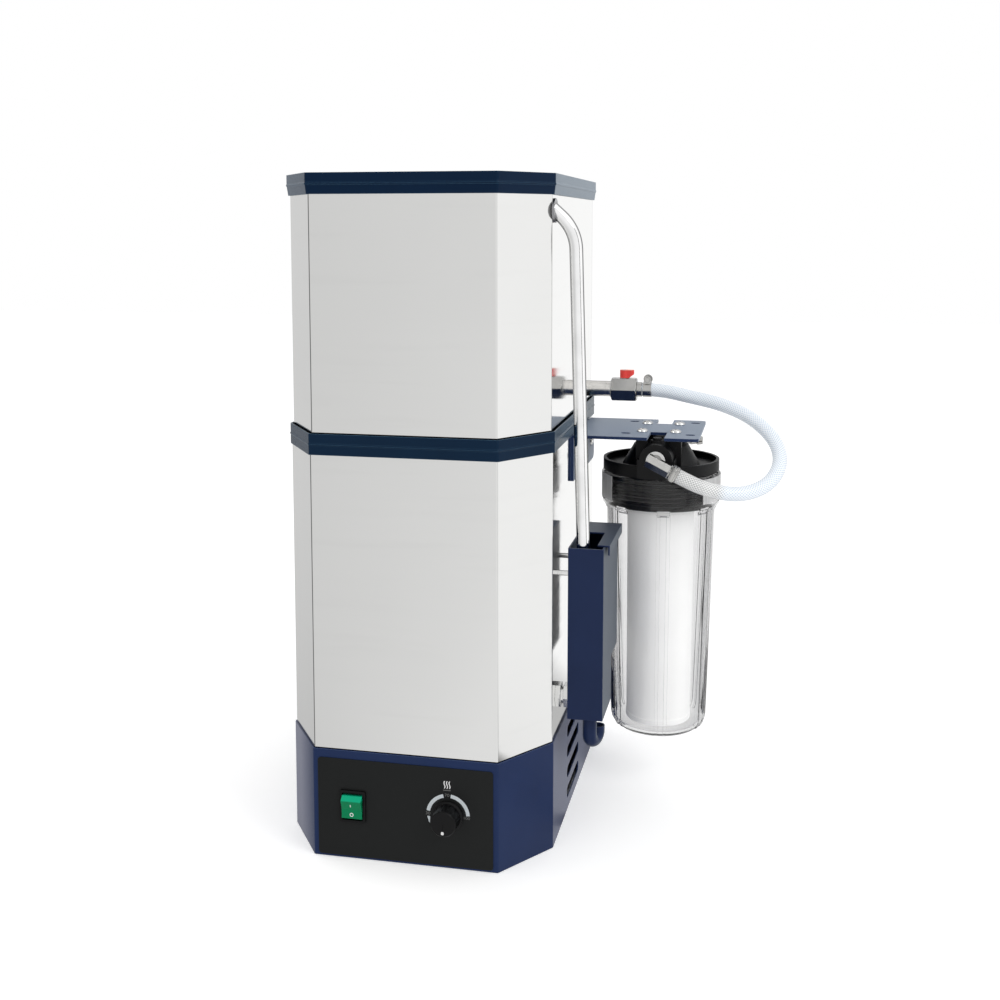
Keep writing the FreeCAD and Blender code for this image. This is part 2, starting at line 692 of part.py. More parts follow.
def control_knob():
    profile = ((0, 0), (KNOB_SKIRT_R, 0), (KNOB_SKIRT_R, KNOB_SKIRT * 0.6),
               (KNOB_BASE_R, KNOB_SKIRT), (KNOB_FACE_R, KNOB_HEIGHT - 0.8),
               (KNOB_FACE_R - 0.8, KNOB_HEIGHT), (0, KNOB_HEIGHT))
    seat = Vec(KNOB_X, KNOB_SEAT_Y, KNOB_Z)
    knob = turned(profile, seat, FRONT)
    cuts = [rod(seat, FRONT, KNOB_RECESS, KNOB_RECESS_R)]
    line = KNOB_LINE_WIDTH / 2
    cuts.append(block(KNOB_X - line, KNOB_X + line, KNOB_FACE_Y - CUT_OVER,
                      KNOB_FACE_Y + KNOB_LINE_DEPTH, KNOB_Z - KNOB_SKIRT_R, KNOB_Z))
    groove_r = KNOB_BASE_R + KNOB_FLUTE_R * 0.45
    for index in range(KNOB_FLUTES):
        angle = math.radians(360 / KNOB_FLUTES * (index + 0.5))
        place = Vec(KNOB_X + groove_r * math.sin(angle), KNOB_SEAT_Y - KNOB_SKIRT,
                    KNOB_Z - groove_r * math.cos(angle))
        cuts.append(rod(place, FRONT, KNOB_HEIGHT, KNOB_FLUTE_R))
    return knob.cut(cuts).cut(shaft_solid(SHAFT_GAP))


def shaft_solid(gap):
    """The thermostat's D-shaft, or with a gap the bore that takes it."""
    inner_y = FRONT_Y + PAINTED_WALL + SHAFT_IN
    outer_y = KNOB_SEAT_Y - KNOB_BORE
    shaft = rod(Vec(KNOB_X, inner_y, KNOB_Z), FRONT, inner_y - outer_y + gap, SHAFT_R + gap)
    flat_z = KNOB_Z + SHAFT_FLAT + gap
    flat = block(KNOB_X - 5, KNOB_X + 5, outer_y - 1, KNOB_SEAT_Y - KNOB_RECESS - SLIDE_GAP,
                 flat_z, flat_z + 5)
    return shaft.cut(flat)


def thermostat():
    wall_y = FRONT_Y + PAINTED_WALL
    half = THERMOSTAT_SIZE / 2
    body = block(KNOB_X - half, KNOB_X + half, wall_y, wall_y + THERMOSTAT_DEPTH,
                 KNOB_Z - half, KNOB_Z + half)
    bush_end = PANEL_Y - BUSH_NUT_WALL - 0.8
    bush = rod(Vec(KNOB_X, wall_y, KNOB_Z), FRONT, wall_y - bush_end, BUSH_R)
    bore_end = wall_y + SHAFT_IN + SLIDE_GAP
    bore = rod(Vec(KNOB_X, bore_end, KNOB_Z), FRONT, bore_end - bush_end + CUT_OVER,
               SHAFT_R + SHAFT_GAP)
    blades = [block(x - 3, x + 3, wall_y + THERMOSTAT_DEPTH, wall_y + THERMOSTAT_DEPTH + 8,
                    KNOB_Z - 0.4, KNOB_Z + 0.4) for x in (KNOB_X - 10, KNOB_X + 10)]
    return body.fuse([bush] + blades).cut(bore)


def thermostat_nut():
    return nut(Vec(KNOB_X, PANEL_Y, KNOB_Z), FRONT, BUSH_NUT_WALL, BUSH_NUT_FLATS,
               BUSH_R + SHAFT_GAP)


def terminal_block():
    length, depth, height = TERMINAL_SIZE
    body = block(-length / 2, length / 2, TERMINAL_Y - depth / 2, TERMINAL_Y + depth / 2,
                 PAN_WALL, PAN_WALL + height)
    wells = []
    for index in range(4):
        x = -length / 2 + length / 8 * (2 * index + 1)
        wells.append(rod(Vec(x, TERMINAL_Y, PAN_WALL + height - 6), UP, 7, 3.0))
    return body.cut(wells)


def cable_gland():
    """Nut inside, hexagon and domed clamping cap outside, open through the middle."""
    wall_in = BACK_Y - PAINTED_WALL
    inner = hexagon(Vec(GLAND_X, wall_in, GLAND_Z), FRONT, 4, GLAND_FLATS)
    thread = rod(Vec(GLAND_X, wall_in - 6, GLAND_Z), BACK, 6 + PAINTED_WALL, GLAND_THREAD_R)
    outer = hexagon(Vec(GLAND_X, BACK_Y, GLAND_Z), BACK, 5, GLAND_FLATS)
    dome = turned(((0, 0), (9.6, 0), (9.6, 8), (6.6, 13), (0, 13)),
                  Vec(GLAND_X, BACK_Y + 5, GLAND_Z), BACK)
    bore = rod(Vec(GLAND_X, wall_in - 7, GLAND_Z), BACK, 40, GLAND_BORE_R)
    return inner.fuse([thread, outer, dome]).cut(bore)


# ---------------------------------------------------------------- cabinet

OUTLET_INNER = Vec(OUTLET_INNER_X, OUTLET_INNER_Y, CAP_BOTTOM)
OUTLET_CORNER = Vec(OUTLET_CORNER_X, OUTLET_CORNER_Y, CAP_BOTTOM - OUTLET_CORNER_DROP)
OUTLET_END = Vec(OUTLET_END_X, OUTLET_END_Y, BOX_TOP - OUTLET_END_DROP)


def outlet_tube_path():
    return [OUTLET_INNER, OUTLET_CORNER, OUTLET_END]


def outlet_wall_hole(gap):
    direction = (OUTLET_CORNER - OUTLET_INNER).normalize()
    return rod(OUTLET_INNER, direction, 34, OUTLET_R + gap)


def lower_casing():
    shell = octagon_wall(LOWER_INSET, STEEL_WALL, BASE_TOP, SHELF_Z, STEEL_BEND)
    inside = WIDTH / 2 - LOWER_INSET - STEEL_WALL - CUT_OVER
    through = STEEL_WALL + 2 * CUT_OVER
    cuts = [rod(Vec(inside, LEVEL_PIPE_Y, LEVEL_PIPE_Z), RIGHT, through,
                LEVEL_PIPE_R + SHAFT_GAP)]
    cuts += [rod(Vec(inside, y, SPACER_Z), RIGHT, through, BOX_SCREW_R + SHAFT_GAP)
             for y in SPACER_YS]
    cuts += [rod(Vec(inside, y, BRACKET_SCREW_Z), RIGHT, through, FILTER_SCREW_R + SHAFT_GAP)
             for y in BRACKET_SCREW_YS]
    return shell.cut(cuts)


def mid_band():
    lip = octagon_prism(0, BAND_BOTTOM, BAND_TOP, PAINTED_BEND)
    band = lip.fuse(bead((BAND_BOTTOM + BAND_TOP) / 2))
    shelf_top = SHELF_Z + SHELF_WALL
    inner_bend = PAINTED_BEND - PAINTED_WALL
    above = octagon_prism(PAINTED_WALL, shelf_top, BAND_TOP + CUT_OVER, inner_bend)
    below = octagon_prism(PAINTED_WALL, BAND_BOTTOM - CUT_OVER, SHELF_Z, inner_bend)
    opening = octagon_prism(PAINTED_WALL + SHELF_WIDTH, SHELF_Z - CUT_OVER,
                            shelf_top + CUT_OVER, 3.0)
    return band.cut([above, below, opening])


def upper_casing():
    bottom = SHELF_Z + SHELF_WALL
    shell = octagon_wall(UPPER_INSET, STEEL_WALL, bottom, CAP_TOP - PAINTED_WALL, STEEL_BEND)
    inside = WIDTH / 2 - UPPER_INSET - STEEL_WALL - CUT_OVER
    through = STEEL_WALL + 2 * CUT_OVER
    inlet = rod(Vec(inside, INLET_Y, INLET_Z), RIGHT, through, INLET_R + SHAFT_GAP)
    rear_y = DEPTH / 2 - UPPER_INSET - STEEL_WALL - CUT_OVER
    distillate = rod(Vec(DISTILLATE_X, rear_y, DISTILLATE_Z), BACK, through,
                     DISTILLATE_R + SHAFT_GAP)
    return shell.cut([inlet, distillate, outlet_wall_hole(HOLE_GAP)])


def top_cap():
    """A lid: its upper half stands upright, its lower half leans in to the casing."""
    middle = (CAP_BOTTOM + CAP_TOP) / 2
    upper = octagon_prism(0, middle, CAP_TOP, PAINTED_BEND)
    lower = octagon_taper(CAP_TAPER, CAP_BOTTOM, 0, middle, PAINTED_BEND)
    solid = upper.fuse([lower, bead(middle)])
    hollow = octagon_prism(CAP_TAPER + PAINTED_WALL, CAP_BOTTOM - CUT_OVER,
                           CAP_TOP - PAINTED_WALL, STEEL_BEND)
    return solid.cut(hollow)


# ---------------------------------------------------------------- boiler

def boiler_tank():
    tank = octagon_prism(TANK_INSET, BASE_TOP, TANK_TOP, TANK_BEND)
    hollow = octagon_prism(TANK_INSET + TANK_WALL, BASE_TOP + TANK_WALL, TANK_TOP + CUT_OVER,
                           TANK_BEND - TANK_WALL)
    wall_x = WIDTH / 2 - TANK_INSET
    cuts = [hollow, rod(Vec(wall_x - 5, LEVEL_PIPE_Y, LEVEL_PIPE_Z), RIGHT, 9,
                        LEVEL_PIPE_R + SHAFT_GAP)]
    for x in (-HEATER_X, HEATER_X):
        cuts.append(rod(Vec(x, 0, BASE_TOP - 1), UP, 4, HEATER_R + HOLE_GAP))
    cuts.append(rod(Vec(PROBE_X, PROBE_Y, BASE_TOP - 1), UP, 4, PROBE_R + HOLE_GAP))
    return tank.cut(cuts)


def boiler_lid():
    """The tank's lid, with the pipe that carries the steam up through the tray."""
    lid = octagon_prism(TANK_INSET - LID_LAP, TANK_TOP, TANK_TOP + LID_WALL, TANK_BEND)
    riser = rod(Vec(0, 0, TANK_TOP), UP, RISER_TOP - TANK_TOP, RISER_R)
    bore = rod(Vec(0, 0, TANK_TOP - 1), UP, RISER_TOP - TANK_TOP + 2, RISER_R - TANK_WALL)
    return lid.fuse(riser).cut(bore)


def heating_element():
    bottom = BASE_PLATE_Z - HEATER_TAIL
    points = [Vec(-HEATER_X, 0, bottom), Vec(-HEATER_X, 0, HEATER_Z),
              Vec(-HEATER_X, HEATER_Y, HEATER_Z), Vec(HEATER_X, HEATER_Y, HEATER_Z),
              Vec(HEATER_X, 0, HEATER_Z), Vec(HEATER_X, 0, bottom)]
    return bent_rod(points, [HEATER_BEND] * 4, HEATER_R)


def heater_nuts():
    """One nut under the base's top plate and one on the tank's floor, for each leg."""
    nuts = []
    inside_z = BASE_TOP + TANK_WALL
    for x in (-HEATER_X, HEATER_X):
        nuts.append(nut(Vec(x, 0, BASE_PLATE_Z), DOWN, HEATER_NUT_WALL, HEATER_FLATS,
                        HEATER_R + SHAFT_GAP))
        nuts.append(nut(Vec(x, 0, inside_z), UP, HEATER_NUT_WALL / 2, HEATER_FLATS,
                        HEATER_R + SHAFT_GAP))
    return nuts


def level_probe():
    """The rod that senses a dry tank, held by its hexagon on the tank's floor."""
    bottom = BASE_PLATE_Z - HEATER_TAIL
    stem = rod(Vec(PROBE_X, PROBE_Y, bottom), UP, PROBE_TOP - bottom, PROBE_R)
    head = hexagon(Vec(PROBE_X, PROBE_Y, BASE_TOP + TANK_WALL), UP, 6, PROBE_FLATS)
    return stem.fuse(head)


# ---------------------------------------------------------------- condenser

TRAY_INSET = UPPER_INSET + STEEL_WALL + TRAY_GAP
TRAY_COLLAR_R = RISER_R + COLLAR_GAP


def condensate_tray():
    """Stands on the band's shelf; its floor is raised, and a collar rings the riser."""
    base_z = SHELF_Z + SHELF_WALL
    tray = octagon_prism(TRAY_INSET, base_z, TRAY_RIM, STEEL_BEND)
    above = octagon_prism(TRAY_INSET + TRAY_WALL, TRAY_FLOOR + TRAY_WALL, TRAY_RIM + CUT_OVER,
                          STEEL_BEND - TRAY_WALL)
    below = octagon_prism(TRAY_INSET + TRAY_WALL, base_z - CUT_OVER, TRAY_FLOOR,
                          STEEL_BEND - TRAY_WALL)
    collar = rod(Vec(0, 0, TRAY_FLOOR), UP, TRAY_RIM - TRAY_FLOOR, TRAY_COLLAR_R + TRAY_WALL)
    bore = rod(Vec(0, 0, TRAY_FLOOR - 1), UP, TRAY_RIM - TRAY_FLOOR + 2, TRAY_COLLAR_R)
    wall_x = WIDTH / 2 - TRAY_INSET
    wall_y = DEPTH / 2 - TRAY_INSET
    inlet = rod(Vec(wall_x - 5, INLET_Y, INLET_Z), RIGHT, 9, INLET_R + HOLE_GAP)
    outlet = rod(Vec(DISTILLATE_X, wall_y - 5, DISTILLATE_Z), BACK, 9,
                 DISTILLATE_R + SHAFT_GAP)
    return tray.cut([above, below]).fuse(collar).cut([bore, inlet, outlet])


def splash_hood():
    """A cone over the riser that turns boiling splashes back, on legs on the tray's floor."""
    cone = turned(((0, HOOD_TOP), (HOOD_R, HOOD_BOTTOM), (HOOD_R, HOOD_BOTTOM - HOOD_WALL),
                   (0, HOOD_TOP - HOOD_WALL)), Vec(0, 0, 0), UP)
    foot = TRAY_FLOOR + TRAY_WALL
    leg_r = (TRAY_COLLAR_R + HOOD_R) / 2 + 1.0
    slope = (HOOD_TOP - HOOD_BOTTOM) / HOOD_R
    leg_top = HOOD_TOP - HOOD_WALL / 2 - slope * leg_r
    legs = []
    for index in range(HOOD_LEGS):
        leg = block(leg_r, leg_r + 1.2, -HOOD_LEG_WIDTH / 2, HOOD_LEG_WIDTH / 2, foot, leg_top)
        leg.rotate(Vec(0, 0, 0), UP, 360 / HOOD_LEGS * index)
        legs.append(leg)
    return cone.fuse(legs)


def distillate_outlet():
    """Lets the distilled water out at the rear: turned down past its nut to take a hose."""
    start = Vec(DISTILLATE_X, HALF_DEPTH - UPPER_INSET - DISTILLATE_IN, DISTILLATE_Z)
    seat = DISTILLATE_IN + DISTILLATE_NUT + DISTILLATE_SHOULDER
    pipe = rod(start, BACK, seat, DISTILLATE_R)
    tail = rod(start, BACK, seat + DISTILLATE_TAIL, DISTILLATE_TAIL_R)
    bore = rod(start - BACK, BACK, seat + DISTILLATE_TAIL + 2, DISTILLATE_BORE_R)
    return pipe.fuse(tail).cut(bore)


def coil_points():
    """Level runs, one above the other, with the water going up from tier to tier."""
    points = [Vec(INLET_INNER_X + 6, INLET_Y, INLET_Z), Vec(COIL_X, INLET_Y, INLET_Z)]
    side = -1
    for tier in range(COIL_TIERS - 1):
        z = INLET_Z + tier * COIL_PITCH
        points.append(Vec(COIL_X, side * COIL_END_Y, z))
        points.append(Vec(COIL_X, side * COIL_END_Y, z + COIL_PITCH))
        side = -side
    into_outlet = (OUTLET_CORNER - OUTLET_INNER).normalize()
    hump = OUTLET_INNER - into_outlet * COIL_HUMP
    points.append(Vec(COIL_X, hump.y, INLET_Z + (COIL_TIERS - 1) * COIL_PITCH))
    points.append(hump)
    points.append(OUTLET_INNER)
    return points


def cooling_coil():
    points = coil_points()
    radii = [COIL_BEND] * (len(points) - 3) + [COIL_HUMP_BEND]
    return bent_rod(points, radii, COIL_R)


def coil_hangers():
    """Two straps that stand on the tray and carry every level run of the coil."""
    foot = TRAY_FLOOR + TRAY_WALL
    top = INLET_Z + (COIL_TIERS - 1) * COIL_PITCH + COIL_R + 8
    straps = []
    for y in (-HANGER_Y, HANGER_Y):
        strap = block(COIL_X - HANGER_WIDTH / 2, COIL_X + HANGER_WIDTH / 2,
                      y - HANGER_WALL / 2, y + HANGER_WALL / 2, foot, top)
        holes = [rod(Vec(COIL_X, y - HANGER_WALL, INLET_Z + tier * COIL_PITCH), BACK,
                     2 * HANGER_WALL, COIL_R + SHAFT_GAP) for tier in range(COIL_TIERS)]
        straps.append(strap.cut(holes))
    return straps


def cooling_outlet_tube():
    path = outlet_tube_path()
    outside = bent_rod(path, [OUTLET_BEND], OUTLET_R)
    return outside.cut(bent_rod(path, [OUTLET_BEND], OUTLET_BORE_R))


def outlet_flange():
    wall_x = WIDTH / 2 - UPPER_INSET
    slope = (OUTLET_CORNER - OUTLET_INNER).normalize()
    centre_x = wall_x + OUTLET_FLANGE_WALL / 2
    centre = OUTLET_INNER + slope * ((centre_x - OUTLET_INNER.x) / slope.x)
    centre.x = wall_x
    disc = rod(centre, RIGHT, OUTLET_FLANGE_WALL, OUTLET_FLANGE_R)
    return disc.cut(outlet_wall_hole(SHAFT_GAP))


# ---------------------------------------------------------------- level box

CASING_X = WIDTH / 2 - LOWER_INSET
BOX_LEFT = CASING_X + BOX_GAP
BOX_RIGHT = BOX_LEFT + BOX_WIDTH
DRAIN_X = BOX_LEFT + DRAIN_IN


def box_outline(inset, x):
    """Side view: deep at the top, stepped in at the rear below."""
    return [Vec(x, BOX_FRONT + inset, BOX_BOTTOM + inset),
            Vec(x, BOX_STEP_BACK - inset, BOX_BOTTOM + inset),
            Vec(x, BOX_STEP_BACK - inset, BOX_STEP_Z + inset),
            Vec(x, BOX_BACK - inset, BOX_STEP_Z + inset),
            Vec(x, BOX_BACK - inset, BOX_TOP),
            Vec(x, BOX_FRONT + inset, BOX_TOP)]


def level_box():
    outside = plate(box_outline(0, BOX_LEFT), 0, Vec(BOX_WIDTH, 0, 0))
    hollow = plate(box_outline(BOX_WALL, BOX_LEFT + BOX_WALL), 0,
                   Vec(BOX_WIDTH - 2 * BOX_WALL, 0, 0))
    cuts = [hollow, rod(Vec(BOX_LEFT - 1, LEVEL_PIPE_Y, LEVEL_PIPE_Z), RIGHT, BOX_WALL + 2,
                        LEVEL_PIPE_R + SHAFT_GAP)]
    cuts += [rod(Vec(BOX_LEFT - 1, y, SPACER_Z), RIGHT, BOX_WALL + 2, BOX_SCREW_R + SHAFT_GAP)
             for y in SPACER_YS]
    cuts.append(rod(Vec(DRAIN_X, DRAIN_Y, BOX_BOTTOM - 1), UP, BOX_WALL + 2,
                    DRAIN_R + SHAFT_GAP))
    return outside.cut(cuts)


def level_box_cover():
    """A plate over the rear and right edges, with a lip down the right and an open mouth."""
    right = BOX_RIGHT + COVER_OVERHANG
    top = BOX_TOP + BOX_WALL
    sheet = block(BOX_LEFT, right, COVER_FRONT, COVER_BACK, BOX_TOP, top)
    mouth = block(BOX_LEFT - 1, BOX_LEFT + COVER_MOUTH_X, COVER_FRONT - 1, COVER_MOUTH_Y,
                  BOX_TOP - 1, top + 1)
    lip = block(right - BOX_WALL, right, COVER_FRONT, COVER_BACK, BOX_TOP - COVER_LIP, top)
    return sheet.cut(mouth).fuse(lip)


def box_spacers():
    return [sleeve(Vec(CASING_X, y, SPACER_Z), RIGHT, BOX_GAP, SPACER_R,
                   BOX_SCREW_R + SHAFT_GAP) for y in SPACER_YS]


def box_screws():
    """Heads inside the box, nuts inside the casing."""
    screws = []
    nut_face = CASING_X - STEEL_WALL
    seat_x = BOX_LEFT + BOX_WALL
    for y in SPACER_YS:
        screw = pan_head_screw(Vec(seat_x, y, SPACER_Z), LEFT, seat_x - nut_face + 6,
                               BOX_SCREW_R, BOX_SCREW_HEAD_R, BOX_SCREW_HEAD)
        screws.append(screw)
        screws.append(nut(Vec(nut_face, y, SPACER_Z), LEFT, BOX_NUT_WALL, BOX_NUT_FLATS,
                          BOX_SCREW_R + SHAFT_GAP))
    return screws


def level_pipe():
    start_x = WIDTH / 2 - TANK_INSET - TANK_WALL - LEVEL_NUT_WALL - 1
    end_x = BOX_LEFT + BOX_WALL + LEVEL_NUT_WALL + 1
    return sleeve(Vec(start_x, LEVEL_PIPE_Y, LEVEL_PIPE_Z), RIGHT, end_x - start_x,
                  LEVEL_PIPE_R, LEVEL_PIPE_BORE_R)


def level_pipe_nuts():
    """Nuts on both sides of the tank's wall and the box's wall, and one on the casing."""
    tank_x = WIDTH / 2 - TANK_INSET
    places = ((tank_x - TANK_WALL, LEFT), (tank_x, RIGHT), (CASING_X, RIGHT),
              (BOX_LEFT, LEFT), (BOX_LEFT + BOX_WALL, RIGHT))
    return [nut(Vec(x, LEVEL_PIPE_Y, LEVEL_PIPE_Z), direction, LEVEL_NUT_WALL,
                LEVEL_NUT_FLATS, LEVEL_PIPE_R + SHAFT_GAP) for x, direction in places]


def drain_path():
    """Down out of the box, then round in a hook that ends pointing up."""
    heading = math.radians(DRAIN_HEADING)
    across = Vec(math.cos(heading), math.sin(heading), 0) * DRAIN_BEND
    top = Vec(DRAIN_X, DRAIN_Y, BOX_BOTTOM)
    arc_start = Vec(DRAIN_X, DRAIN_Y, DRAIN_LOW_Z + DRAIN_R + DRAIN_BEND)
    arc_middle = arc_start + across + DOWN * DRAIN_BEND
    arc_end = arc_start + across * 2
    mouth = arc_end + UP * DRAIN_TAIL
    return Part.Wire([Part.LineSegment(top, arc_start).toShape(),
                      Part.Arc(arc_start, arc_middle, arc_end).toShape(),
                      Part.LineSegment(arc_end, mouth).toShape()])


def drain_rod(radius):
    ring = Part.Wire(Part.Circle(Vec(DRAIN_X, DRAIN_Y, BOX_BOTTOM), DOWN, radius).toShape())
    return drain_path().makePipe(Part.Face(ring))


def drain_spout():
    return drain_rod(DRAIN_R).cut(drain_rod(DRAIN_BORE_R))


def overflow_pipe():
    return sleeve(Vec(DRAIN_X, DRAIN_Y, BOX_BOTTOM), UP, DRAIN_TOP - BOX_BOTTOM, DRAIN_R,
                  DRAIN_BORE_R)


# ---------------------------------------------------------------- water inlet

VALVE_X = (INLET_END_X + RING_WALL + VALVE_END_X) / 2
VALVE_TOP = INLET_Z + VALVE_FLATS / 2
HOSE_START = Vec(VALVE_END_X + TAIL_FLANGE, INLET_Y, INLET_Z)


def inlet_pipe():
    return sleeve(Vec(INLET_INNER_X, INLET_Y, INLET_Z), RIGHT, INLET_END_X - INLET_INNER_X,
                  INLET_R, COIL_R + SHAFT_GAP)


def bulkhead_nuts():
    """One clamps the inlet pipe to the tray and casing, one the distillate pipe outside."""
    inlet = nut(Vec(WIDTH / 2 - TRAY_INSET - TRAY_WALL, INLET_Y, INLET_Z), LEFT,
                INLET_NUT_WALL, INLET_NUT_FLATS, INLET_R + SHAFT_GAP)
    distillate = nut(Vec(DISTILLATE_X, DEPTH / 2 - UPPER_INSET, DISTILLATE_Z), BACK,
                     DISTILLATE_NUT, DISTILLATE_FLATS, DISTILLATE_R + SHAFT_GAP)
    return [inlet, distillate]


def seal_ring():
    return sleeve(Vec(INLET_END_X, INLET_Y, INLET_Z), RIGHT, RING_WALL, RING_R,
                  VALVE_BORE_R)


def valve_body():
    start = Vec(INLET_END_X + RING_WALL, INLET_Y, INLET_Z)
    length = VALVE_END_X - start.x
    body = hexagon(start, RIGHT, length, VALVE_FLATS)
    corner_r = VALVE_FLATS / math.sqrt(3)
    end_r = VALVE_FLATS / 2
    turned_ends = turned(((0, 0), (end_r, 0), (corner_r, VALVE_CHAMFER),
                          (corner_r, length - VALVE_CHAMFER), (end_r, length), (0, length)),
                         start, RIGHT)
    body = body.common(turned_ends)
    bore = rod(start - RIGHT, RIGHT, length + 2, VALVE_BORE_R)
    seat = Part.makeSphere(BALL_R + HOLE_GAP, Vec(VALVE_X, INLET_Y, INLET_Z))
    stem_hole = rod(Vec(VALVE_X, INLET_Y, INLET_Z), UP, VALVE_FLATS, STEM_R + SHAFT_GAP)
    return body.cut([bore, seat, stem_hole])


def valve_ball():
    """Its bore lines up with the pipe when the valve is open."""
    centre = Vec(VALVE_X, INLET_Y, INLET_Z)
    ball = Part.makeSphere(BALL_R, centre)
    bore = rod(centre - RIGHT * 2 * BALL_R, RIGHT, 4 * BALL_R, VALVE_BORE_R)
    top = block(VALVE_X - BALL_R, VALVE_X + BALL_R, INLET_Y - BALL_R, INLET_Y + BALL_R,
                INLET_Z + BALL_FLAT, INLET_Z + 2 * BALL_R)
    return ball.cut([bore, top])


def valve_stem():
    bottom = INLET_Z + BALL_FLAT
    return rod(Vec(VALVE_X, INLET_Y, bottom), UP, VALVE_TOP + STEM_TOP - bottom, STEM_R)


def valve_handle():
    """A short lever that lies along the pipe when the valve is open."""
    bottom = VALVE_TOP + SLIDE_GAP
    stem_foot = Vec(VALVE_X, INLET_Y, bottom)
    hub = rod(stem_foot, UP, HANDLE_HEIGHT, HANDLE_HUB_R)
    half = HANDLE_WIDTH / 2
    arm = plate([stem_foot + Vec(-half, -half, 0), stem_foot + Vec(HANDLE_REACH, -half, 0),
                 stem_foot + Vec(HANDLE_REACH, half, 0), stem_foot + Vec(-half, half, 0)],
                HANDLE_END_R, Vec(0, 0, HANDLE_HEIGHT))
    past = HANDLE_REACH + CUT_OVER
    undercut = plate([stem_foot + Vec(HANDLE_HUB_R, -HANDLE_WIDTH, -CUT_OVER),
                      stem_foot + Vec(past, -HANDLE_WIDTH, -CUT_OVER),
                      stem_foot + Vec(past, -HANDLE_WIDTH, HANDLE_UNDERCUT),
                      stem_foot + Vec(HANDLE_HUB_R, -HANDLE_WIDTH, 0)],
                     0, Vec(0, 2 * HANDLE_WIDTH, 0))
    well = rod(stem_foot + UP * (HANDLE_HEIGHT - HANDLE_SCREW_WALL), UP, 4,
               HANDLE_SCREW_R + SHAFT_GAP)
    socket = rod(stem_foot + DOWN, UP, VALVE_TOP + STEM_TOP - bottom + 1, STEM_R + 0.01)
    return hub.fuse(arm).cut([undercut, well, socket])


def handle_screw():
    top = VALVE_TOP + SLIDE_GAP + HANDLE_HEIGHT
    seat = Vec(VALVE_X, INLET_Y, top - HANDLE_SCREW_WALL)
    return rod(seat, UP, HANDLE_SCREW_WALL, HANDLE_SCREW_R)


def barbed_tail(start, direction, length):
    """A ribbed hose tail: each rib slopes up against the way the hose would slip off."""
    step = length / BARB_COUNT
    profile = [(0, 0), (BARB_R - BARB_DROP, 0)]
    for index in range(BARB_COUNT):
        crest = step * (index + 0.2)
        profile.append((BARB_R, crest))
        profile.append((BARB_R, crest + step * 0.2))
        profile.append((BARB_R - BARB_DROP, step * (index + 1)))
    profile.append((0, length))
    return turned(profile, start, direction)


def hose_tail():
    flange = rod(HOSE_START, LEFT, TAIL_FLANGE, TAIL_FLANGE_R)
    tail = barbed_tail(HOSE_START, RIGHT, HOSE_SEAT_START - 0.5)
    bore = rod(HOSE_START - RIGHT * 10, RIGHT, 40, BARB_BORE_R)
    return flange.fuse(tail).cut(bore)


def hose_points():
    inner = [Vec(HALF_WIDTH + x, INLET_Y + y, INLET_Z + z) for x, y, z in HOSE_TURNS]
    end = fitting_crossing() + fitting_slope() * FITTING_REACH
    return [HOSE_START] + inner + [end + fitting_slope() * HOSE_LAST_RUN, end]


def hose_radii(points):
    """Each bend is as large as its two runs allow."""
    radii = []
    for before, here, after in zip(points, points[1:], points[2:]):
        back = before - here
        onward = after - here
        half_turn = (math.pi - back.getAngle(onward)) / 2
        radii.append(0.45 * min(back.Length, onward.Length) / math.tan(half_turn))
    return radii


def inlet_hose():
    points = hose_points()
    radii = hose_radii(points)
    print("hose bend radii", [round(radius, 1) for radius in radii])
    path = bent_path(points, radii)
    hose = bent_rod(points, radii, HOSE_R)
    expected = math.pi * HOSE_R ** 2 * path.Length
    print("hose length", round(path.Length, 1), "volume ratio",
          round(hose.Volume / expected, 5))
    last = (points[-1] - points[-2]).normalize()
    seats = [rod(points[0] - RIGHT, RIGHT, HOSE_SEAT_START + 1, HOSE_SEAT_R),
             rod(points[-1] + last, last * -1, HOSE_SEAT_END + 1, HOSE_SEAT_R)]
    return hose.cut(seats)


def clamp_frames():
    """For both clamps: middle, direction along the hose, to the screw and to its head."""
    points = hose_points()
    last = (points[-2] - points[-1]).normalize()
    side = last.cross(FRONT).normalize()
    if side.z < 0:
        side = side * -1
    return [(points[0] + RIGHT * CLAMP_START, RIGHT, UP, BACK),
            (points[-1] + last * (CLAMP_START - 1), last, FRONT, side)]


def saddle_block(middle, axis, outward, to_head):
    """Joins the screw's tunnel to the band under it."""
    along = 2 * CLAMP_TUNNEL_R
    across = CLAMP_TUNNEL_TIP + CLAMP_TUNNEL_HEAD
    block_shape = Part.makeBox(along, across, CLAMP_SCREW_OUT,
                               Vec(-along / 2, -CLAMP_TUNNEL_TIP, 0))
    turn = FreeCAD.Rotation(outward.cross(to_head) * -1, to_head, outward, "ZXY")
    block_shape.Placement = FreeCAD.Placement(middle, turn)
    return block_shape


def hose_clamps():
    """Steel bands round the hose's two ends, each with the tunnel of its screw."""
    inner = HOSE_R + SHAFT_GAP
    clamps = []
    for frame in clamp_frames():
        middle, axis, outward, to_head = frame
        start = middle - axis * (CLAMP_WIDTH / 2)
        band = rod(start, axis, CLAMP_WIDTH, inner + CLAMP_WALL)
        tunnel_start = middle + outward * CLAMP_SCREW_OUT - to_head * CLAMP_TUNNEL_TIP
        tunnel = rod(tunnel_start, to_head, CLAMP_TUNNEL_TIP + CLAMP_TUNNEL_HEAD,
                     CLAMP_TUNNEL_R)
        bore = rod(start - axis, axis, CLAMP_WIDTH + 2, inner)
        clamp = band.fuse([tunnel, saddle_block(*frame)])
        clamps.append(clamp.cut([bore, clamp_worm(frame, SHAFT_GAP)]))
    return clamps


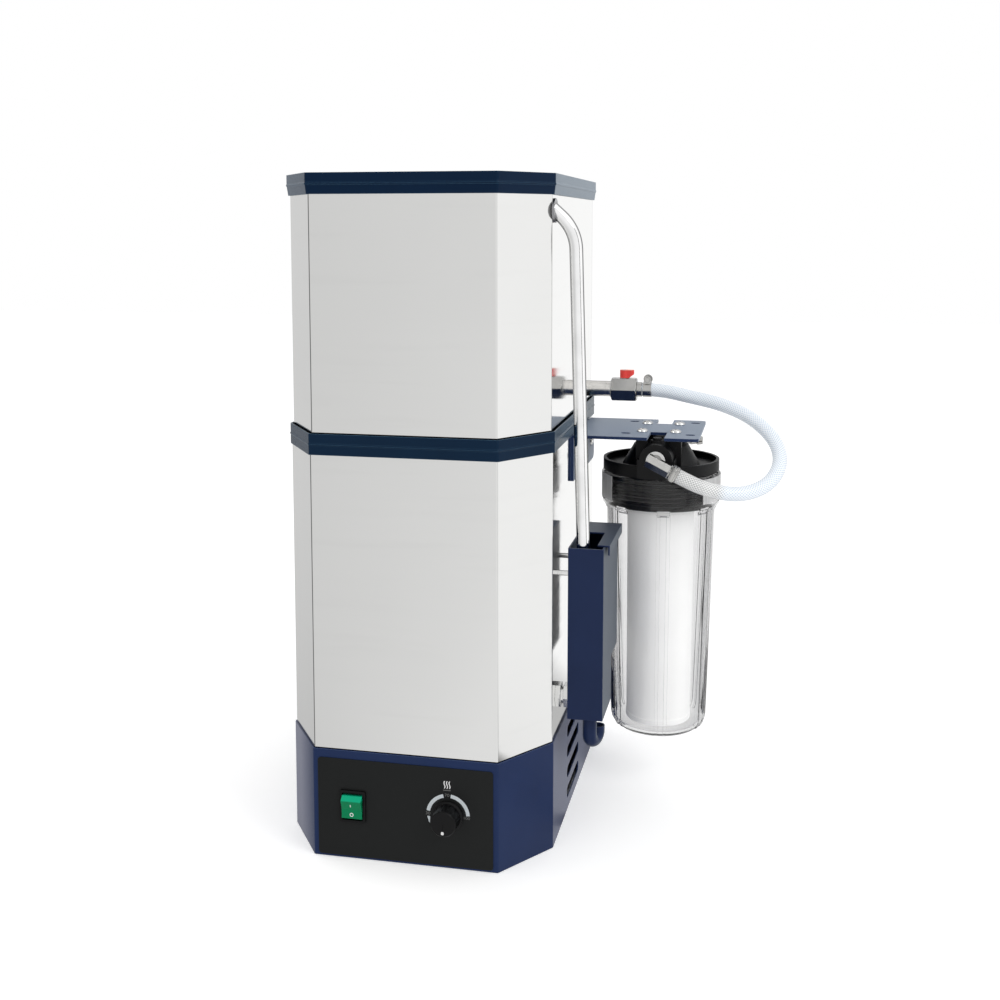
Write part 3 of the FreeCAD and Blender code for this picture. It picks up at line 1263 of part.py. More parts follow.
def clamp_worm(frame, gap):
    """The screw's thread, or with a gap the hole that takes it."""
    middle, axis, outward, to_head = frame
    tip = middle + outward * CLAMP_SCREW_OUT - to_head * (CLAMP_TUNNEL_TIP + CLAMP_TIP)
    length = CLAMP_TIP + CLAMP_TUNNEL_TIP + CLAMP_TUNNEL_HEAD + SLIDE_GAP
    return rod(tip, to_head, length, CLAMP_SCREW_R + gap)


def clamp_screw(frame):
    """The screw lies across the hose; a disc carries its slotted head."""
    middle, axis, outward, to_head = frame
    centre = middle + outward * CLAMP_SCREW_OUT
    disc_start = centre + to_head * (CLAMP_TUNNEL_HEAD + SLIDE_GAP)
    disc = rod(disc_start, to_head, CLAMP_DISC, CLAMP_DISC_R)
    head = rod(disc_start, to_head, CLAMP_DISC + CLAMP_HEAD, CLAMP_HEAD_R)
    slot = Part.makeBox(CLAMP_SLOT_WIDTH, CLAMP_HEAD, 3 * CLAMP_HEAD_R,
                        Vec(-CLAMP_SLOT_WIDTH / 2, 0, -1.5 * CLAMP_HEAD_R))
    turn = FreeCAD.Rotation(outward.cross(to_head) * -1, to_head, outward, "ZXY")
    slot_start = disc_start + to_head * (CLAMP_DISC + CLAMP_HEAD - CLAMP_SLOT_DEPTH)
    slot.Placement = FreeCAD.Placement(slot_start, turn)
    return clamp_worm(frame, 0).fuse([disc, head]).cut(slot)


def clamp_screws():
    return [clamp_screw(frame) for frame in clamp_frames()]


# ---------------------------------------------------------------- filter

BRACKET_LEFT = CASING_X
PLATE_BOTTOM = BRACKET_TOP - BRACKET_WALL


def filter_screw_places():
    return [(FILTER_X + side_x * FILTER_SCREW_X / 2, FILTER_Y + side_y * FILTER_SCREW_Y / 2)
            for side_x in (-1, 1) for side_y in (-1, 1)]


def filter_bracket():
    """One bent sheet: a flange on the casing and a shelf that the filter hangs from."""
    outer = Part.Face(rounded_wire(
        [Vec(BRACKET_LEFT, BRACKET_FRONT, BRACKET_BOTTOM),
         Vec(BRACKET_LEFT, BRACKET_FRONT, BRACKET_TOP),
         Vec(BRACKET_RIGHT, BRACKET_FRONT, BRACKET_TOP),
         Vec(BRACKET_RIGHT, BRACKET_FRONT, PLATE_BOTTOM),
         Vec(BRACKET_LEFT + BRACKET_WALL, BRACKET_FRONT, PLATE_BOTTOM),
         Vec(BRACKET_LEFT + BRACKET_WALL, BRACKET_FRONT, BRACKET_BOTTOM)], 0))
    sheet = outer.extrude(Vec(0, BRACKET_BACK - BRACKET_FRONT, 0))
    outer_edge = [edge for edge in sheet.Edges
                  if abs(edge.CenterOfMass.x - BRACKET_LEFT) < 0.01
                  and abs(edge.CenterOfMass.z - BRACKET_TOP) < 0.01]
    sheet = sheet.makeFillet(BRACKET_WALL, outer_edge)
    sheet = sheet.fuse(flange_tail())
    cuts = [mount_slot()]
    for direction in (-1, 1):
        cuts.append(plate_notch(direction))
        cuts.append(plate_corner(direction))
    for x, y in filter_screw_places():
        cuts.append(rod(Vec(x, y, PLATE_BOTTOM - 1), UP, BRACKET_WALL + 2,
                        FILTER_SCREW_R + HOLE_GAP))
    for side_x in (-1, 1):
        for side_y in (-1, 1):
            centre = Vec(FILTER_X + side_x * SPARE_SLOT_X / 2,
                         FILTER_Y + side_y * SPARE_SLOT_Y / 2, PLATE_BOTTOM - 1)
            cuts.append(obround(centre, Vec(SPARE_SLOT_RUN, 0, 0), SPARE_SLOT_R,
                                Vec(0, 0, BRACKET_WALL + 2)))
    front_y = BRACKET_SCREW_YS[0]
    cuts.append(rod(Vec(BRACKET_LEFT - 1, front_y, BRACKET_SCREW_Z), RIGHT, BRACKET_WALL + 2,
                    FILTER_SCREW_R + SHAFT_GAP))
    return sheet.cut(cuts)


def flange_tail():
    """The flange runs on behind the shelf, with rounded corners."""
    top = PLATE_BOTTOM - 1
    lap_y = BRACKET_BACK - 2 * FLANGE_CORNER
    corners = [Vec(BRACKET_LEFT, lap_y, BRACKET_BOTTOM),
               Vec(BRACKET_LEFT, FLANGE_BACK, BRACKET_BOTTOM),
               Vec(BRACKET_LEFT, FLANGE_BACK, top), Vec(BRACKET_LEFT, lap_y, top)]
    return plate(corners, FLANGE_CORNER, Vec(BRACKET_WALL, 0, 0))


def mount_slot():
    """The rear wall screw's slot, upright, so that the bracket can be levelled."""
    centre = Vec(BRACKET_LEFT - 1, BRACKET_SCREW_YS[1], BRACKET_SCREW_Z)
    return obround(centre, Vec(0, 0, 8), FILTER_SCREW_R + HOLE_GAP,
                   Vec(BRACKET_WALL + 2, 0, 0))


def plate_notch(direction):
    """The shelf is open in front of and behind the filter's ports."""
    edge_y = BRACKET_FRONT if direction < 0 else BRACKET_BACK
    inner_y = FILTER_Y + direction * NOTCH_REACH
    low = min(edge_y + direction, inner_y)
    high = max(edge_y + direction, inner_y)
    corners = [Vec(FILTER_X - NOTCH_HALF, low, PLATE_BOTTOM - 1),
               Vec(FILTER_X + NOTCH_HALF, low, PLATE_BOTTOM - 1),
               Vec(FILTER_X + NOTCH_HALF, high, PLATE_BOTTOM - 1),
               Vec(FILTER_X - NOTCH_HALF, high, PLATE_BOTTOM - 1)]
    return plate(corners, 0, Vec(0, 0, BRACKET_WALL + 2))


def plate_corner(direction):
    """Tool that rounds one outer corner of the shelf."""
    edge_y = BRACKET_FRONT if direction < 0 else BRACKET_BACK
    centre = Vec(BRACKET_RIGHT - BRACKET_CORNER, edge_y - direction * BRACKET_CORNER,
                 PLATE_BOTTOM - 1)
    height = BRACKET_WALL + 2
    square = block(centre.x, BRACKET_RIGHT + 1, min(centre.y, edge_y + direction),
                   max(centre.y, edge_y + direction), centre.z, centre.z + height)
    return square.cut(rod(centre, UP, height, BRACKET_CORNER))


def bracket_screws():
    """Heads on the flange, nuts inside the casing."""
    pieces = []
    seat_x = BRACKET_LEFT + BRACKET_WALL
    nut_face = CASING_X - STEEL_WALL
    for y in BRACKET_SCREW_YS:
        pieces.append(pan_head_screw(Vec(seat_x, y, BRACKET_SCREW_Z), LEFT,
                                     seat_x - nut_face + 7, FILTER_SCREW_R,
                                     FILTER_SCREW_HEAD_R, FILTER_SCREW_HEAD))
        pieces.append(nut(Vec(nut_face, y, BRACKET_SCREW_Z), LEFT, 5, 10,
                          FILTER_SCREW_R + SHAFT_GAP))
    return pieces


def filter_screws():
    length = BRACKET_WALL + FILTER_SCREW_DEPTH
    return [pan_head_screw(Vec(x, y, BRACKET_TOP), DOWN, length, FILTER_SCREW_R,
                           FILTER_SCREW_HEAD_R, FILTER_SCREW_HEAD)
            for x, y in filter_screw_places()]


def filter_centre(z):
    return Vec(FILTER_X, FILTER_Y, z)


def head_dish():
    """The moulded disc: upright rim, sunk dish, conical hub and a hollow underside."""
    under = DISH_Z - DISH_WALL
    inner_skirt = SKIRT_R - SKIRT_WALL
    profile = (
        (0, HUB_TOP), (HUB_TOP_R, HUB_TOP), (HUB_BASE_R, DISH_Z), (RIM_R - RIM_WALL, DISH_Z),
        (RIM_R - RIM_WALL, RIM_TOP), (RIM_R, RIM_TOP), (RIM_R, RIM_BOTTOM),
        (SKIRT_R, RIM_BOTTOM), (SKIRT_R, SKIRT_BOTTOM), (inner_skirt, SKIRT_BOTTOM),
        (inner_skirt, under), (HUB_BASE_R - HUB_WALL, under), (HUB_TOP_R - HUB_WALL,
                                                               HUB_TOP - HUB_WALL),
        (0, HUB_TOP - HUB_WALL))
    return turned(profile, Vec(FILTER_X, FILTER_Y, 0), UP)


def thread_ridges():
    """Thread crests on the skirt, drawn as rings that taper to their edge."""
    rings = []
    first = SKIRT_BOTTOM + 3.0
    for index in range(THREAD_RIDGES):
        z = first + index * THREAD_PITCH
        rings.append(turned(((SKIRT_R - 1, z), (SKIRT_R, z), (SKIRT_R + THREAD_DEPTH, z + 0.9),
                             (SKIRT_R + THREAD_DEPTH, z + 1.5), (SKIRT_R, z + 2.4),
                             (SKIRT_R - 1, z + 2.4)), Vec(FILTER_X, FILTER_Y, 0), UP))
    return rings


def head_ports():
    """The two port bosses, in line through the hub, on a foot that runs out to the rim."""
    start = Vec(FILTER_X, FILTER_Y - PORT_REACH, PORT_Z)
    boss = rod(start, BACK, 2 * PORT_REACH, PORT_R)
    foot = block(FILTER_X - PORT_FOOT_HALF, FILTER_X + PORT_FOOT_HALF,
                 FILTER_Y - PORT_REACH, FILTER_Y + PORT_REACH, RIM_BOTTOM, PORT_Z)
    return [boss, foot]


def head_posts():
    """Square pillars under the four screws, joined by webs to the hub."""
    half = POST_SIZE / 2
    posts = []
    for x, y in filter_screw_places():
        posts.append(block(x - half, x + half, y - half, y + half, DISH_Z - 1, PLATE_BOTTOM))
    low_y = FILTER_Y - FILTER_SCREW_Y / 2
    high_y = FILTER_Y + FILTER_SCREW_Y / 2
    for side in (-1, 1):
        x = FILTER_X + side * FILTER_SCREW_X / 2
        posts.append(block(x - 2, x + 2, low_y, high_y, DISH_Z - 1, PLATE_BOTTOM - 4))
    return posts


def button_bore(radius, z_low, z_high):
    return rod(Vec(FILTER_X, FILTER_Y + BUTTON_Y, z_low), UP, z_high - z_low, radius)


def filter_head():
    """The black moulded head that carries the bowl, with its ports, posts and threads."""
    head = head_dish()
    socket = button_bore(BUTTON_SOCKET_R, PORT_Z, BUTTON_SOCKET_TOP)
    spigot = rod(filter_centre(SPIGOT_BOTTOM), UP, HUB_TOP - 2 - SPIGOT_BOTTOM, SPIGOT_R)
    head = head.fuse(head_ports() + head_posts() + thread_ridges() + [socket, spigot])
    cuts = []
    for direction in (FRONT, BACK):
        face = Vec(FILTER_X, FILTER_Y, PORT_Z) + direction * PORT_REACH
        cuts.append(rod(face + direction, direction * -1, PORT_BORE + 1,
                        PORT_BORE_R + SHAFT_GAP))
    outlet_y = FILTER_Y - PORT_REACH + PORT_BORE - 2
    cuts.append(block(FILTER_X - 4, FILTER_X + 4, outlet_y, FILTER_Y + 4, PORT_Z - 4,
                      PORT_Z + 4))
    cuts.append(rod(filter_centre(SPIGOT_BOTTOM - 1), UP, PORT_Z - SPIGOT_BOTTOM + 1,
                    SPIGOT_BORE_R))
    cuts.append(button_bore(BUTTON_R + SHAFT_GAP, BUTTON_BOTTOM - BUTTON_TRAVEL - 0.4,
                            BUTTON_SOCKET_TOP + 1))
    for x, y in filter_screw_places():
        cuts.append(rod(Vec(x, y, PLATE_BOTTOM + 1), DOWN, FILTER_SCREW_DEPTH + 2,
                        FILTER_SCREW_R + SHAFT_GAP))
    return head.cut(cuts)


def relief_button():
    return rod(Vec(FILTER_X, FILTER_Y + BUTTON_Y, BUTTON_BOTTOM), UP,
               BUTTON_TOP - BUTTON_BOTTOM, BUTTON_R)


def bowl_radius(z):
    """Outer radius of the bowl's gently tapered wall."""
    share = (z - BOWL_LOW_Z) / (BOWL_SHOULDER_Z - BOWL_LOW_Z)
    return BOWL_LOW_R + (BOWL_TOP_R - BOWL_LOW_R) * share


def bowl_shell():
    """The clear bowl: threaded collar, tapered wall and rounded foot."""
    collar_bore = SKIRT_R + THREAD_DEPTH + SLIDE_GAP
    step_z = SKIRT_BOTTOM - 1.5
    top_inner = BOWL_TOP_R - BOWL_WALL
    low_inner = BOWL_LOW_R - BOWL_WALL
    floor = BOWL_BOTTOM + BOWL_WALL
    foot_z = BOWL_BOTTOM + 4.0
    profile = (
        (0, BOWL_BOTTOM), (BOWL_FLOOR_R, BOWL_BOTTOM), (BOWL_LOW_R - 6, foot_z),
        (BOWL_LOW_R, BOWL_LOW_Z), (BOWL_TOP_R, BOWL_SHOULDER_Z),
        (COLLAR_R - 1, COLLAR_BOTTOM), (COLLAR_R, COLLAR_BOTTOM + 1.5), (COLLAR_R, COLLAR_TOP),
        (collar_bore, COLLAR_TOP), (collar_bore, step_z), (top_inner, step_z - 2.5),
        (low_inner, BOWL_LOW_Z + 1), (low_inner - 6, foot_z + 3.0),
        (BOWL_FLOOR_R - 2, floor), (0, floor))
    return turned(profile, Vec(FILTER_X, FILTER_Y, 0), UP)


def bowl_ribs():
    """Pairs of ribs down the wall, so that the bowl can be gripped."""
    bottom = BOWL_LOW_Z
    top = BOWL_SHOULDER_Z + 3
    ribs = []
    for pair in range(RIB_PAIRS):
        for side in (-0.5, 0.5):
            corners = [Vec(bowl_radius(bottom) - 1, -RIB_WIDTH / 2, bottom),
                       Vec(bowl_radius(bottom) + RIB_PROUD, -RIB_WIDTH / 2, bottom),
                       Vec(bowl_radius(top) + RIB_PROUD, -RIB_WIDTH / 2, top),
                       Vec(bowl_radius(top) - 1, -RIB_WIDTH / 2, top)]
            rib = plate(corners, 0, Vec(0, RIB_WIDTH, 0))
            angle = 360 / RIB_PAIRS * pair + side * RIB_SPACING + BOWL_TURN - 90
            rib.rotate(Vec(0, 0, 0), UP, angle)
            rib.translate(Vec(FILTER_X, FILTER_Y, 0))
            ribs.append(rib)
    return ribs


def bowl_lugs():
    """Lugs under the collar for the spanner that turns the bowl."""
    lugs = []
    for index in range(LUG_COUNT):
        lug = block(BOWL_TOP_R - 1, COLLAR_R - 0.6, -LUG_WIDTH / 2, LUG_WIDTH / 2,
                    COLLAR_BOTTOM - LUG_DROP, COLLAR_BOTTOM + 2)
        lug.rotate(Vec(0, 0, 0), UP, 360 / LUG_COUNT * index + BOWL_TURN - 90)
        lug.translate(Vec(FILTER_X, FILTER_Y, 0))
        lugs.append(lug)
    return lugs


def filter_bowl():
    return bowl_shell().fuse(bowl_ribs() + bowl_lugs())


def bowl_seal():
    """The square-cut ring between the head's skirt and the bowl's step."""
    outer = SKIRT_R - 0.4
    z = SKIRT_BOTTOM - SEAL_R
    return sleeve(filter_centre(z + 0.9), UP, SEAL_R - 0.9, outer, outer - 3.0)


def filter_cartridge():
    """A thick wound tube; the head's spigot reaches into its bore."""
    low = CARTRIDGE_BOTTOM + CARTRIDGE_CAP
    return sleeve(filter_centre(low), UP, CARTRIDGE_TOP - CARTRIDGE_CAP - low, CARTRIDGE_R,
                  CARTRIDGE_BORE_R)


def cartridge_caps():
    """End caps; the lower one stands on ribs on the bowl's floor."""
    lower = rod(filter_centre(CARTRIDGE_BOTTOM), UP, CARTRIDGE_CAP, CARTRIDGE_R + 0.5)
    floor = BOWL_BOTTOM + BOWL_WALL
    stand = rod(filter_centre(floor), UP, CARTRIDGE_BOTTOM - floor, 10.0)
    upper = sleeve(filter_centre(CARTRIDGE_TOP - CARTRIDGE_CAP), UP, CARTRIDGE_CAP,
                   CARTRIDGE_R + 0.5, SPIGOT_R + SLIDE_GAP)
    return [lower.fuse(stand), upper]


def port_washers():
    washers = []
    for direction in (FRONT, BACK):
        face = Vec(FILTER_X, FILTER_Y, PORT_Z) + direction * PORT_REACH
        washers.append(sleeve(face, direction, WASHER_WALL, WASHER_R,
                              FITTING_STEM_R + SHAFT_GAP))
    return washers


def fitting_slope():
    tilt = math.radians(FITTING_TILT)
    return Vec(math.cos(tilt), 0, -math.sin(tilt))


def fitting_crossing():
    """Where the front elbow's axis crosses the axis of its port."""
    return Vec(FILTER_X, FILTER_Y - PORT_REACH - FITTING_AXIS_OUT, PORT_Z)


def elbow_fitting(direction, hose_direction, tail_length):
    """An elbow screwed into a port: a stem, a six-sided body across it and a ribbed tail."""
    face = Vec(FILTER_X, FILTER_Y, PORT_Z) + direction * PORT_REACH
    thread = rod(face - direction * FITTING_THREAD, direction, FITTING_THREAD, PORT_BORE_R)
    stem = rod(face, direction, FITTING_AXIS_OUT, FITTING_STEM_R)
    crossing = face + direction * FITTING_AXIS_OUT
    start = crossing - hose_direction * FITTING_BACK
    body = hexagon(start, hose_direction, FITTING_BACK + FITTING_REACH, FITTING_FLATS)
    tail = barbed_tail(crossing + hose_direction * FITTING_REACH, hose_direction, tail_length)
    inward = rod(crossing, direction * -1, FITTING_AXIS_OUT + FITTING_THREAD + 1, BARB_BORE_R)
    onward = rod(crossing, hose_direction, FITTING_REACH + tail_length + 1, BARB_BORE_R)
    return thread.fuse([stem, body, tail]).cut([inward, onward])


def outlet_fitting():
    """The front elbow, which feeds the hose to the still."""
    return elbow_fitting(FRONT, fitting_slope(), HOSE_SEAT_END - 0.5)


def supply_fitting():
    """The rear elbow, whose bare tail takes the tap-water hose."""
    return elbow_fitting(BACK, RIGHT, SUPPLY_TAIL)


NODES = {
    "base_housing": lambda: [base_housing()],
    "base_floor": lambda: [base_floor()],
    "rubber_pads": rubber_pads,
    "pan_screws": pan_screws,
    "control_panel": lambda: [control_panel()],
    "switch_frame": lambda: [switch_frame()],
    "switch_rocker": lambda: [switch_rocker()],
    "thermostat": lambda: [thermostat()],
    "thermostat_nut": lambda: [thermostat_nut()],
    "thermostat_shaft": lambda: [shaft_solid(0)],
    "control_knob": lambda: [control_knob()],
    "terminal_block": lambda: [terminal_block()],
    "cable_gland": lambda: [cable_gland()],
    "lower_casing": lambda: [lower_casing()],
    "mid_band": lambda: [mid_band()],
    "upper_casing": lambda: [upper_casing()],
    "top_cap": lambda: [top_cap()],
    "boiler_tank": lambda: [boiler_tank()],
    "boiler_lid": lambda: [boiler_lid()],
    "heating_element": lambda: [heating_element()],
    "heater_nuts": heater_nuts,
    "level_probe": lambda: [level_probe()],
    "condensate_tray": lambda: [condensate_tray()],
    "splash_hood": lambda: [splash_hood()],
    "distillate_outlet": lambda: [distillate_outlet()],
    "cooling_coil": lambda: [cooling_coil()],
    "coil_hangers": coil_hangers,
    "cooling_outlet_tube": lambda: [cooling_outlet_tube()],
    "outlet_flange": lambda: [outlet_flange()],
    "level_box": lambda: [level_box()],
    "level_box_cover": lambda: [level_box_cover()],
    "box_spacers": box_spacers,
    "box_screws": box_screws,
    "level_pipe": lambda: [level_pipe()],
    "level_pipe_nuts": level_pipe_nuts,
    "overflow_pipe": lambda: [overflow_pipe()],
    "drain_spout": lambda: [drain_spout()],
    "inlet_pipe": lambda: [inlet_pipe()],
    "bulkhead_nuts": bulkhead_nuts,
    "seal_ring": lambda: [seal_ring()],
    "valve_body": lambda: [valve_body()],
    "valve_ball": lambda: [valve_ball()],
    "valve_stem": lambda: [valve_stem()],
    "valve_handle": lambda: [valve_handle()],
    "handle_screw": lambda: [handle_screw()],
    "hose_tail": lambda: [hose_tail()],
    "inlet_hose": lambda: [inlet_hose()],
    "hose_clamps": hose_clamps,
    "clamp_screws": clamp_screws,
    "filter_bracket": lambda: [filter_bracket()],
    "bracket_screws": bracket_screws,
    "filter_screws": filter_screws,
    "filter_head": lambda: [filter_head()],
    "relief_button": lambda: [relief_button()],
    "filter_bowl": lambda: [filter_bowl()],
    "bowl_seal": lambda: [bowl_seal()],
    "filter_cartridge": lambda: [filter_cartridge()],
    "cartridge_caps": cartridge_caps,
    "port_washers": port_washers,
    "filter_fittings": lambda: [outlet_fitting(), supply_fitting()],
}

for node_name, make_node in NODES.items():
    export(node_name, make_node())
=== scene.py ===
# %% [markdown]
# # A steel bench water still with its cartridge filter
# The still is a cabinet of folded steel with eight sides. Its lower half hides a boiler and its
# upper half a cooling coil. On its right hang a bright outlet tube, a painted level box and a
# clear water filter, joined to the cabinet by a braided hose.
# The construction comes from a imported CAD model, which is loaded first and never moved. This
# lesson gives that model its finishes, and makes the pieces that need a finer hand than CAD.

# %% Load the fixed frame
import bmesh
import bpy
import math
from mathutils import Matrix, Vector


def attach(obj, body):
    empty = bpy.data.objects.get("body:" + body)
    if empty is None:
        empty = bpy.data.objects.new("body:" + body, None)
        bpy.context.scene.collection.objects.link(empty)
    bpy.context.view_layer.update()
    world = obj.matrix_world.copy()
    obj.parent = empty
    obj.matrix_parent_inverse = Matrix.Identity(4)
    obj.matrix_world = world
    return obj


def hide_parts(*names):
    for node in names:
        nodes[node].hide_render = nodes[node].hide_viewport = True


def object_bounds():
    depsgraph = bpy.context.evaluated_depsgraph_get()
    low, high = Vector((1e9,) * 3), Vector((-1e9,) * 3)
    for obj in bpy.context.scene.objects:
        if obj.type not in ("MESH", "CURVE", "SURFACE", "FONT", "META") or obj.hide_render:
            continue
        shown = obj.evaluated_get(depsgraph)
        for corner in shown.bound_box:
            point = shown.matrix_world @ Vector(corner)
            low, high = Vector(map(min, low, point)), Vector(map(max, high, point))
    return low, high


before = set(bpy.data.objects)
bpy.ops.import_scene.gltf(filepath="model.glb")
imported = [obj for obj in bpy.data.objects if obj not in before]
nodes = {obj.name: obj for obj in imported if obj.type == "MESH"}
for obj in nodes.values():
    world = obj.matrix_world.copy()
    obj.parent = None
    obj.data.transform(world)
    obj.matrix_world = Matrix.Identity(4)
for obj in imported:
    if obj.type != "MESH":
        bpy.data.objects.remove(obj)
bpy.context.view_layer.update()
MM = 0.001

# %% [markdown]
# ## Camera
# The still was looked at from a little to its right and from the height of its upper casing,
# close enough for the top and bottom edges to converge. A 46.8 mm lens on a 36 mm sensor has
# that angle. The lens is shifted down, because the view is framed below the eye's level.

# %% Place the camera
EYE = (0.3324, -1.3065, 0.5922)
EYE_PITCH = 0.10472
EYE_TURN = 0.213
LENS = 46.8
SHIFT_DOWN = -0.1361
SENSOR_WIDTH = 36.0
FAR_CLIP = 50.0

camera_data = bpy.data.cameras.new("view_camera")
camera_data.lens = LENS
camera_data.sensor_width = SENSOR_WIDTH
camera_data.shift_y = SHIFT_DOWN
camera_data.clip_end = FAR_CLIP
camera = bpy.data.objects.new("view_camera", camera_data)
camera.location = EYE
camera.rotation_euler = (math.pi / 2 - EYE_PITCH, 0, EYE_TURN)
bpy.context.scene.collection.objects.link(camera)
bpy.context.scene.camera = camera
bpy.context.scene.view_settings.view_transform = "Standard"
print("camera at", EYE, "lens", LENS)

# %% [markdown]
# ## The hose's route
# The hose is a clear tube with a white braid in its wall. It leaves the ball valve level, swings
# out to the right in a wide turn, dips, and comes back into the fitting at the filter's front.
# A soft hose has no corners, so its line is one NURBS curve of order 3, whose control points are
# the corner points of the CAD tube's route.

# %% Draw the hose's line
HOSE_DIAMETER = 14.5 * MM
HOSE_POINTS = [
    (186.5, 100, 416.5), (208, 100, 416.5), (240, 97, 410), (271, 88, 405), (304, 73, 394),
    (330, 48, 375), (337, 21, 354), (324, -6, 336), (296, -26, 329), (263, -34, 336),
    (242.01, -36, 345.47), (228.02, -36, 352.6)]

line_data = bpy.data.curves.new("hose_line", "CURVE")
line_data.dimensions = "3D"
line_data.resolution_u = 12
spline = line_data.splines.new("NURBS")
spline.points.add(len(HOSE_POINTS) - 1)
for spline_point, place in zip(spline.points, HOSE_POINTS):
    spline_point.co = (place[0] * MM, place[1] * MM, place[2] * MM, 1)
spline.order_u = 3
spline.use_endpoint_u = True
line_object = bpy.data.objects.new("hose_line", line_data)
bpy.context.scene.collection.objects.link(line_object)
bpy.context.view_layer.update()
line_mesh = bpy.data.meshes.new_from_object(line_object)
hose_path = [vertex.co.copy() for vertex in line_mesh.vertices]
bpy.data.meshes.remove(line_mesh)
bpy.data.objects.remove(line_object)

# %% [markdown]
# ## Tools for the bench
# Every new piece is made with the same few moves: clear the selection, add a primitive, shape it
# in edit mode, and apply its place so that its object sits at the origin. These helpers keep
# each of those moves to one line.

# %% Small helpers for modelling
def deselect_all():
    for obj in bpy.context.selected_objects:
        obj.select_set(False)


def take(obj, name):
    """Make obj the only selected and active object, and name it."""
    deselect_all()
    obj.select_set(True)
    bpy.context.view_layer.objects.active = obj
    obj.name = name
    obj.data.name = name
    return obj


def settle(obj):
    """Put the object's place into its mesh, so that the object sits at the origin."""
    take(obj, obj.name)
    bpy.ops.object.transform_apply(location=True, rotation=True, scale=True)
    return obj


def add_modifier(obj, kind, **settings):
    """Add a modifier, set it and apply it at once."""
    take(obj, obj.name)
    modifier = obj.modifiers.new(kind.lower(), kind)
    for name, value in settings.items():
        setattr(modifier, name, value)
    bpy.ops.object.modifier_apply(modifier=modifier.name)
    return obj


def smooth(obj, degrees=35):
    take(obj, obj.name)
    bpy.ops.object.shade_smooth_by_angle(angle=math.radians(degrees))
    return obj


def copy_piece(obj, name):
    """A copy with a mesh of its own."""
    twin = obj.copy()
    twin.data = obj.data.copy()
    bpy.context.scene.collection.objects.link(twin)
    return take(twin, name)


def finish_piece(obj, body, material, slot, *replaced):
    """Give a piece its material and its body, and hide the CAD nodes that it stands for."""
    obj.data.materials.clear()
    obj.data.materials.append(material)
    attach(obj, body)
    if replaced:
        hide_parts(*replaced)
    return obj


# %% Helpers for edit mode
def start_editing(obj, kind="FACE"):
    take(obj, obj.name)
    bpy.ops.object.mode_set(mode="EDIT")
    bpy.ops.mesh.select_mode(type=kind)
    bpy.ops.mesh.select_all(action="DESELECT")


def stop_editing():
    bpy.ops.object.mode_set(mode="OBJECT")


def pick_parts(obj, kind, wanted):
    """Select exactly the faces or verts that pass the test, and count them."""
    bpy.ops.mesh.select_all(action="DESELECT")
    build = bmesh.from_edit_mesh(obj.data)
    picked = [part for part in getattr(build, kind) if wanted(part)]
    for part in picked:
        part.select_set(True)
    bmesh.update_edit_mesh(obj.data)
    return len(picked)


def pick_faces(obj, wanted):
    """The test gets each face's middle and normal."""
    return pick_parts(obj, "faces", lambda face: wanted(face.calc_center_median(), face.normal))


def pick_points(obj, wanted):
    """The test gets each vertex's place."""
    return pick_parts(obj, "verts", lambda point: wanted(point.co))


def extrude_by(value):
    bpy.ops.mesh.extrude_region_move(TRANSFORM_OT_translate={"value": value})


def face_outwards():
    bpy.ops.mesh.select_all(action="SELECT")
    bpy.ops.mesh.normals_make_consistent(inside=False)


def turn_on_lathe(name, profile, middle, sides):
    """Turn (radius, height) stations in mm round an upright axis at middle. A fan closes each
    end."""
    radius, height = profile[0]
    bpy.ops.mesh.primitive_circle_add(
        vertices=sides, radius=radius * MM, fill_type="TRIFAN",
        location=(middle[0] * MM, middle[1] * MM, height * MM))
    piece = settle(take(bpy.context.object, name))
    start_editing(piece, "EDGE")
    bpy.ops.mesh.select_non_manifold()
    for next_radius, next_height in profile[1:]:
        extrude_by((0, 0, (next_height - height) * MM))
        change = next_radius / radius
        bpy.ops.transform.resize(value=(change, change, 1), center_override=(
            middle[0] * MM, middle[1] * MM, next_height * MM))
        radius, height = next_radius, next_height
    extrude_by((0, 0, 0))
    bpy.ops.mesh.merge(type="CENTER")
    face_outwards()
    stop_editing()
    return piece


# %% [markdown]
# ## Effects that several finishes share
# Real sheet metal and moulded plastic are never quite even. Five small node groups make the
# common effects: a fine grain for the bump of a powder coat or a moulded skin, a cloudy tone
# that shifts a colour, rolling streaks for sheet steel, a mask that finds edges, and a narrow
# line across one axis for a seam. Each group is built once and used with other numbers in each
# material.

# %% Single nodes
FLOAT = "NodeSocketFloat"
COLOUR = "NodeSocketColor"
VECTOR = "NodeSocketVector"


def feed(tree, socket, value):
    """Link a socket to another node's output, or give it a constant."""
    if isinstance(value, bpy.types.NodeSocket):
        tree.links.new(value, socket)
    elif socket.type == "RGBA":
        socket.default_value = (*value, 1)
    else:
        socket.default_value = value


def wire(tree, node, **values):
    """Feed a node's inputs by their names, with _ for each space in a name."""
    for label, value in values.items():
        feed(tree, node.inputs[label.replace("_", " ")], value)
    return node


def add_node(tree, kind, **values):
    return wire(tree, tree.nodes.new("ShaderNode" + kind), **values)


def operate(tree, kind, operation, *values):
    node = add_node(tree, kind)
    node.operation = operation
    for socket, value in zip(node.inputs, values):
        feed(tree, socket, value)
    return node


def calculate(tree, operation, *values, clamp=False):
    """A Math node: each value is a number or another node's output."""
    node = operate(tree, "Math", operation, *values)
    node.use_clamp = clamp
    return node.outputs["Value"]


def join_vectors(tree, operation, *values):
    """A Vector Math node. A dot product gives a number, and the rest give a vector."""
    node = operate(tree, "VectorMath", operation, *values)
    return node.outputs["Value" if operation == "DOT_PRODUCT" else "Vector"]


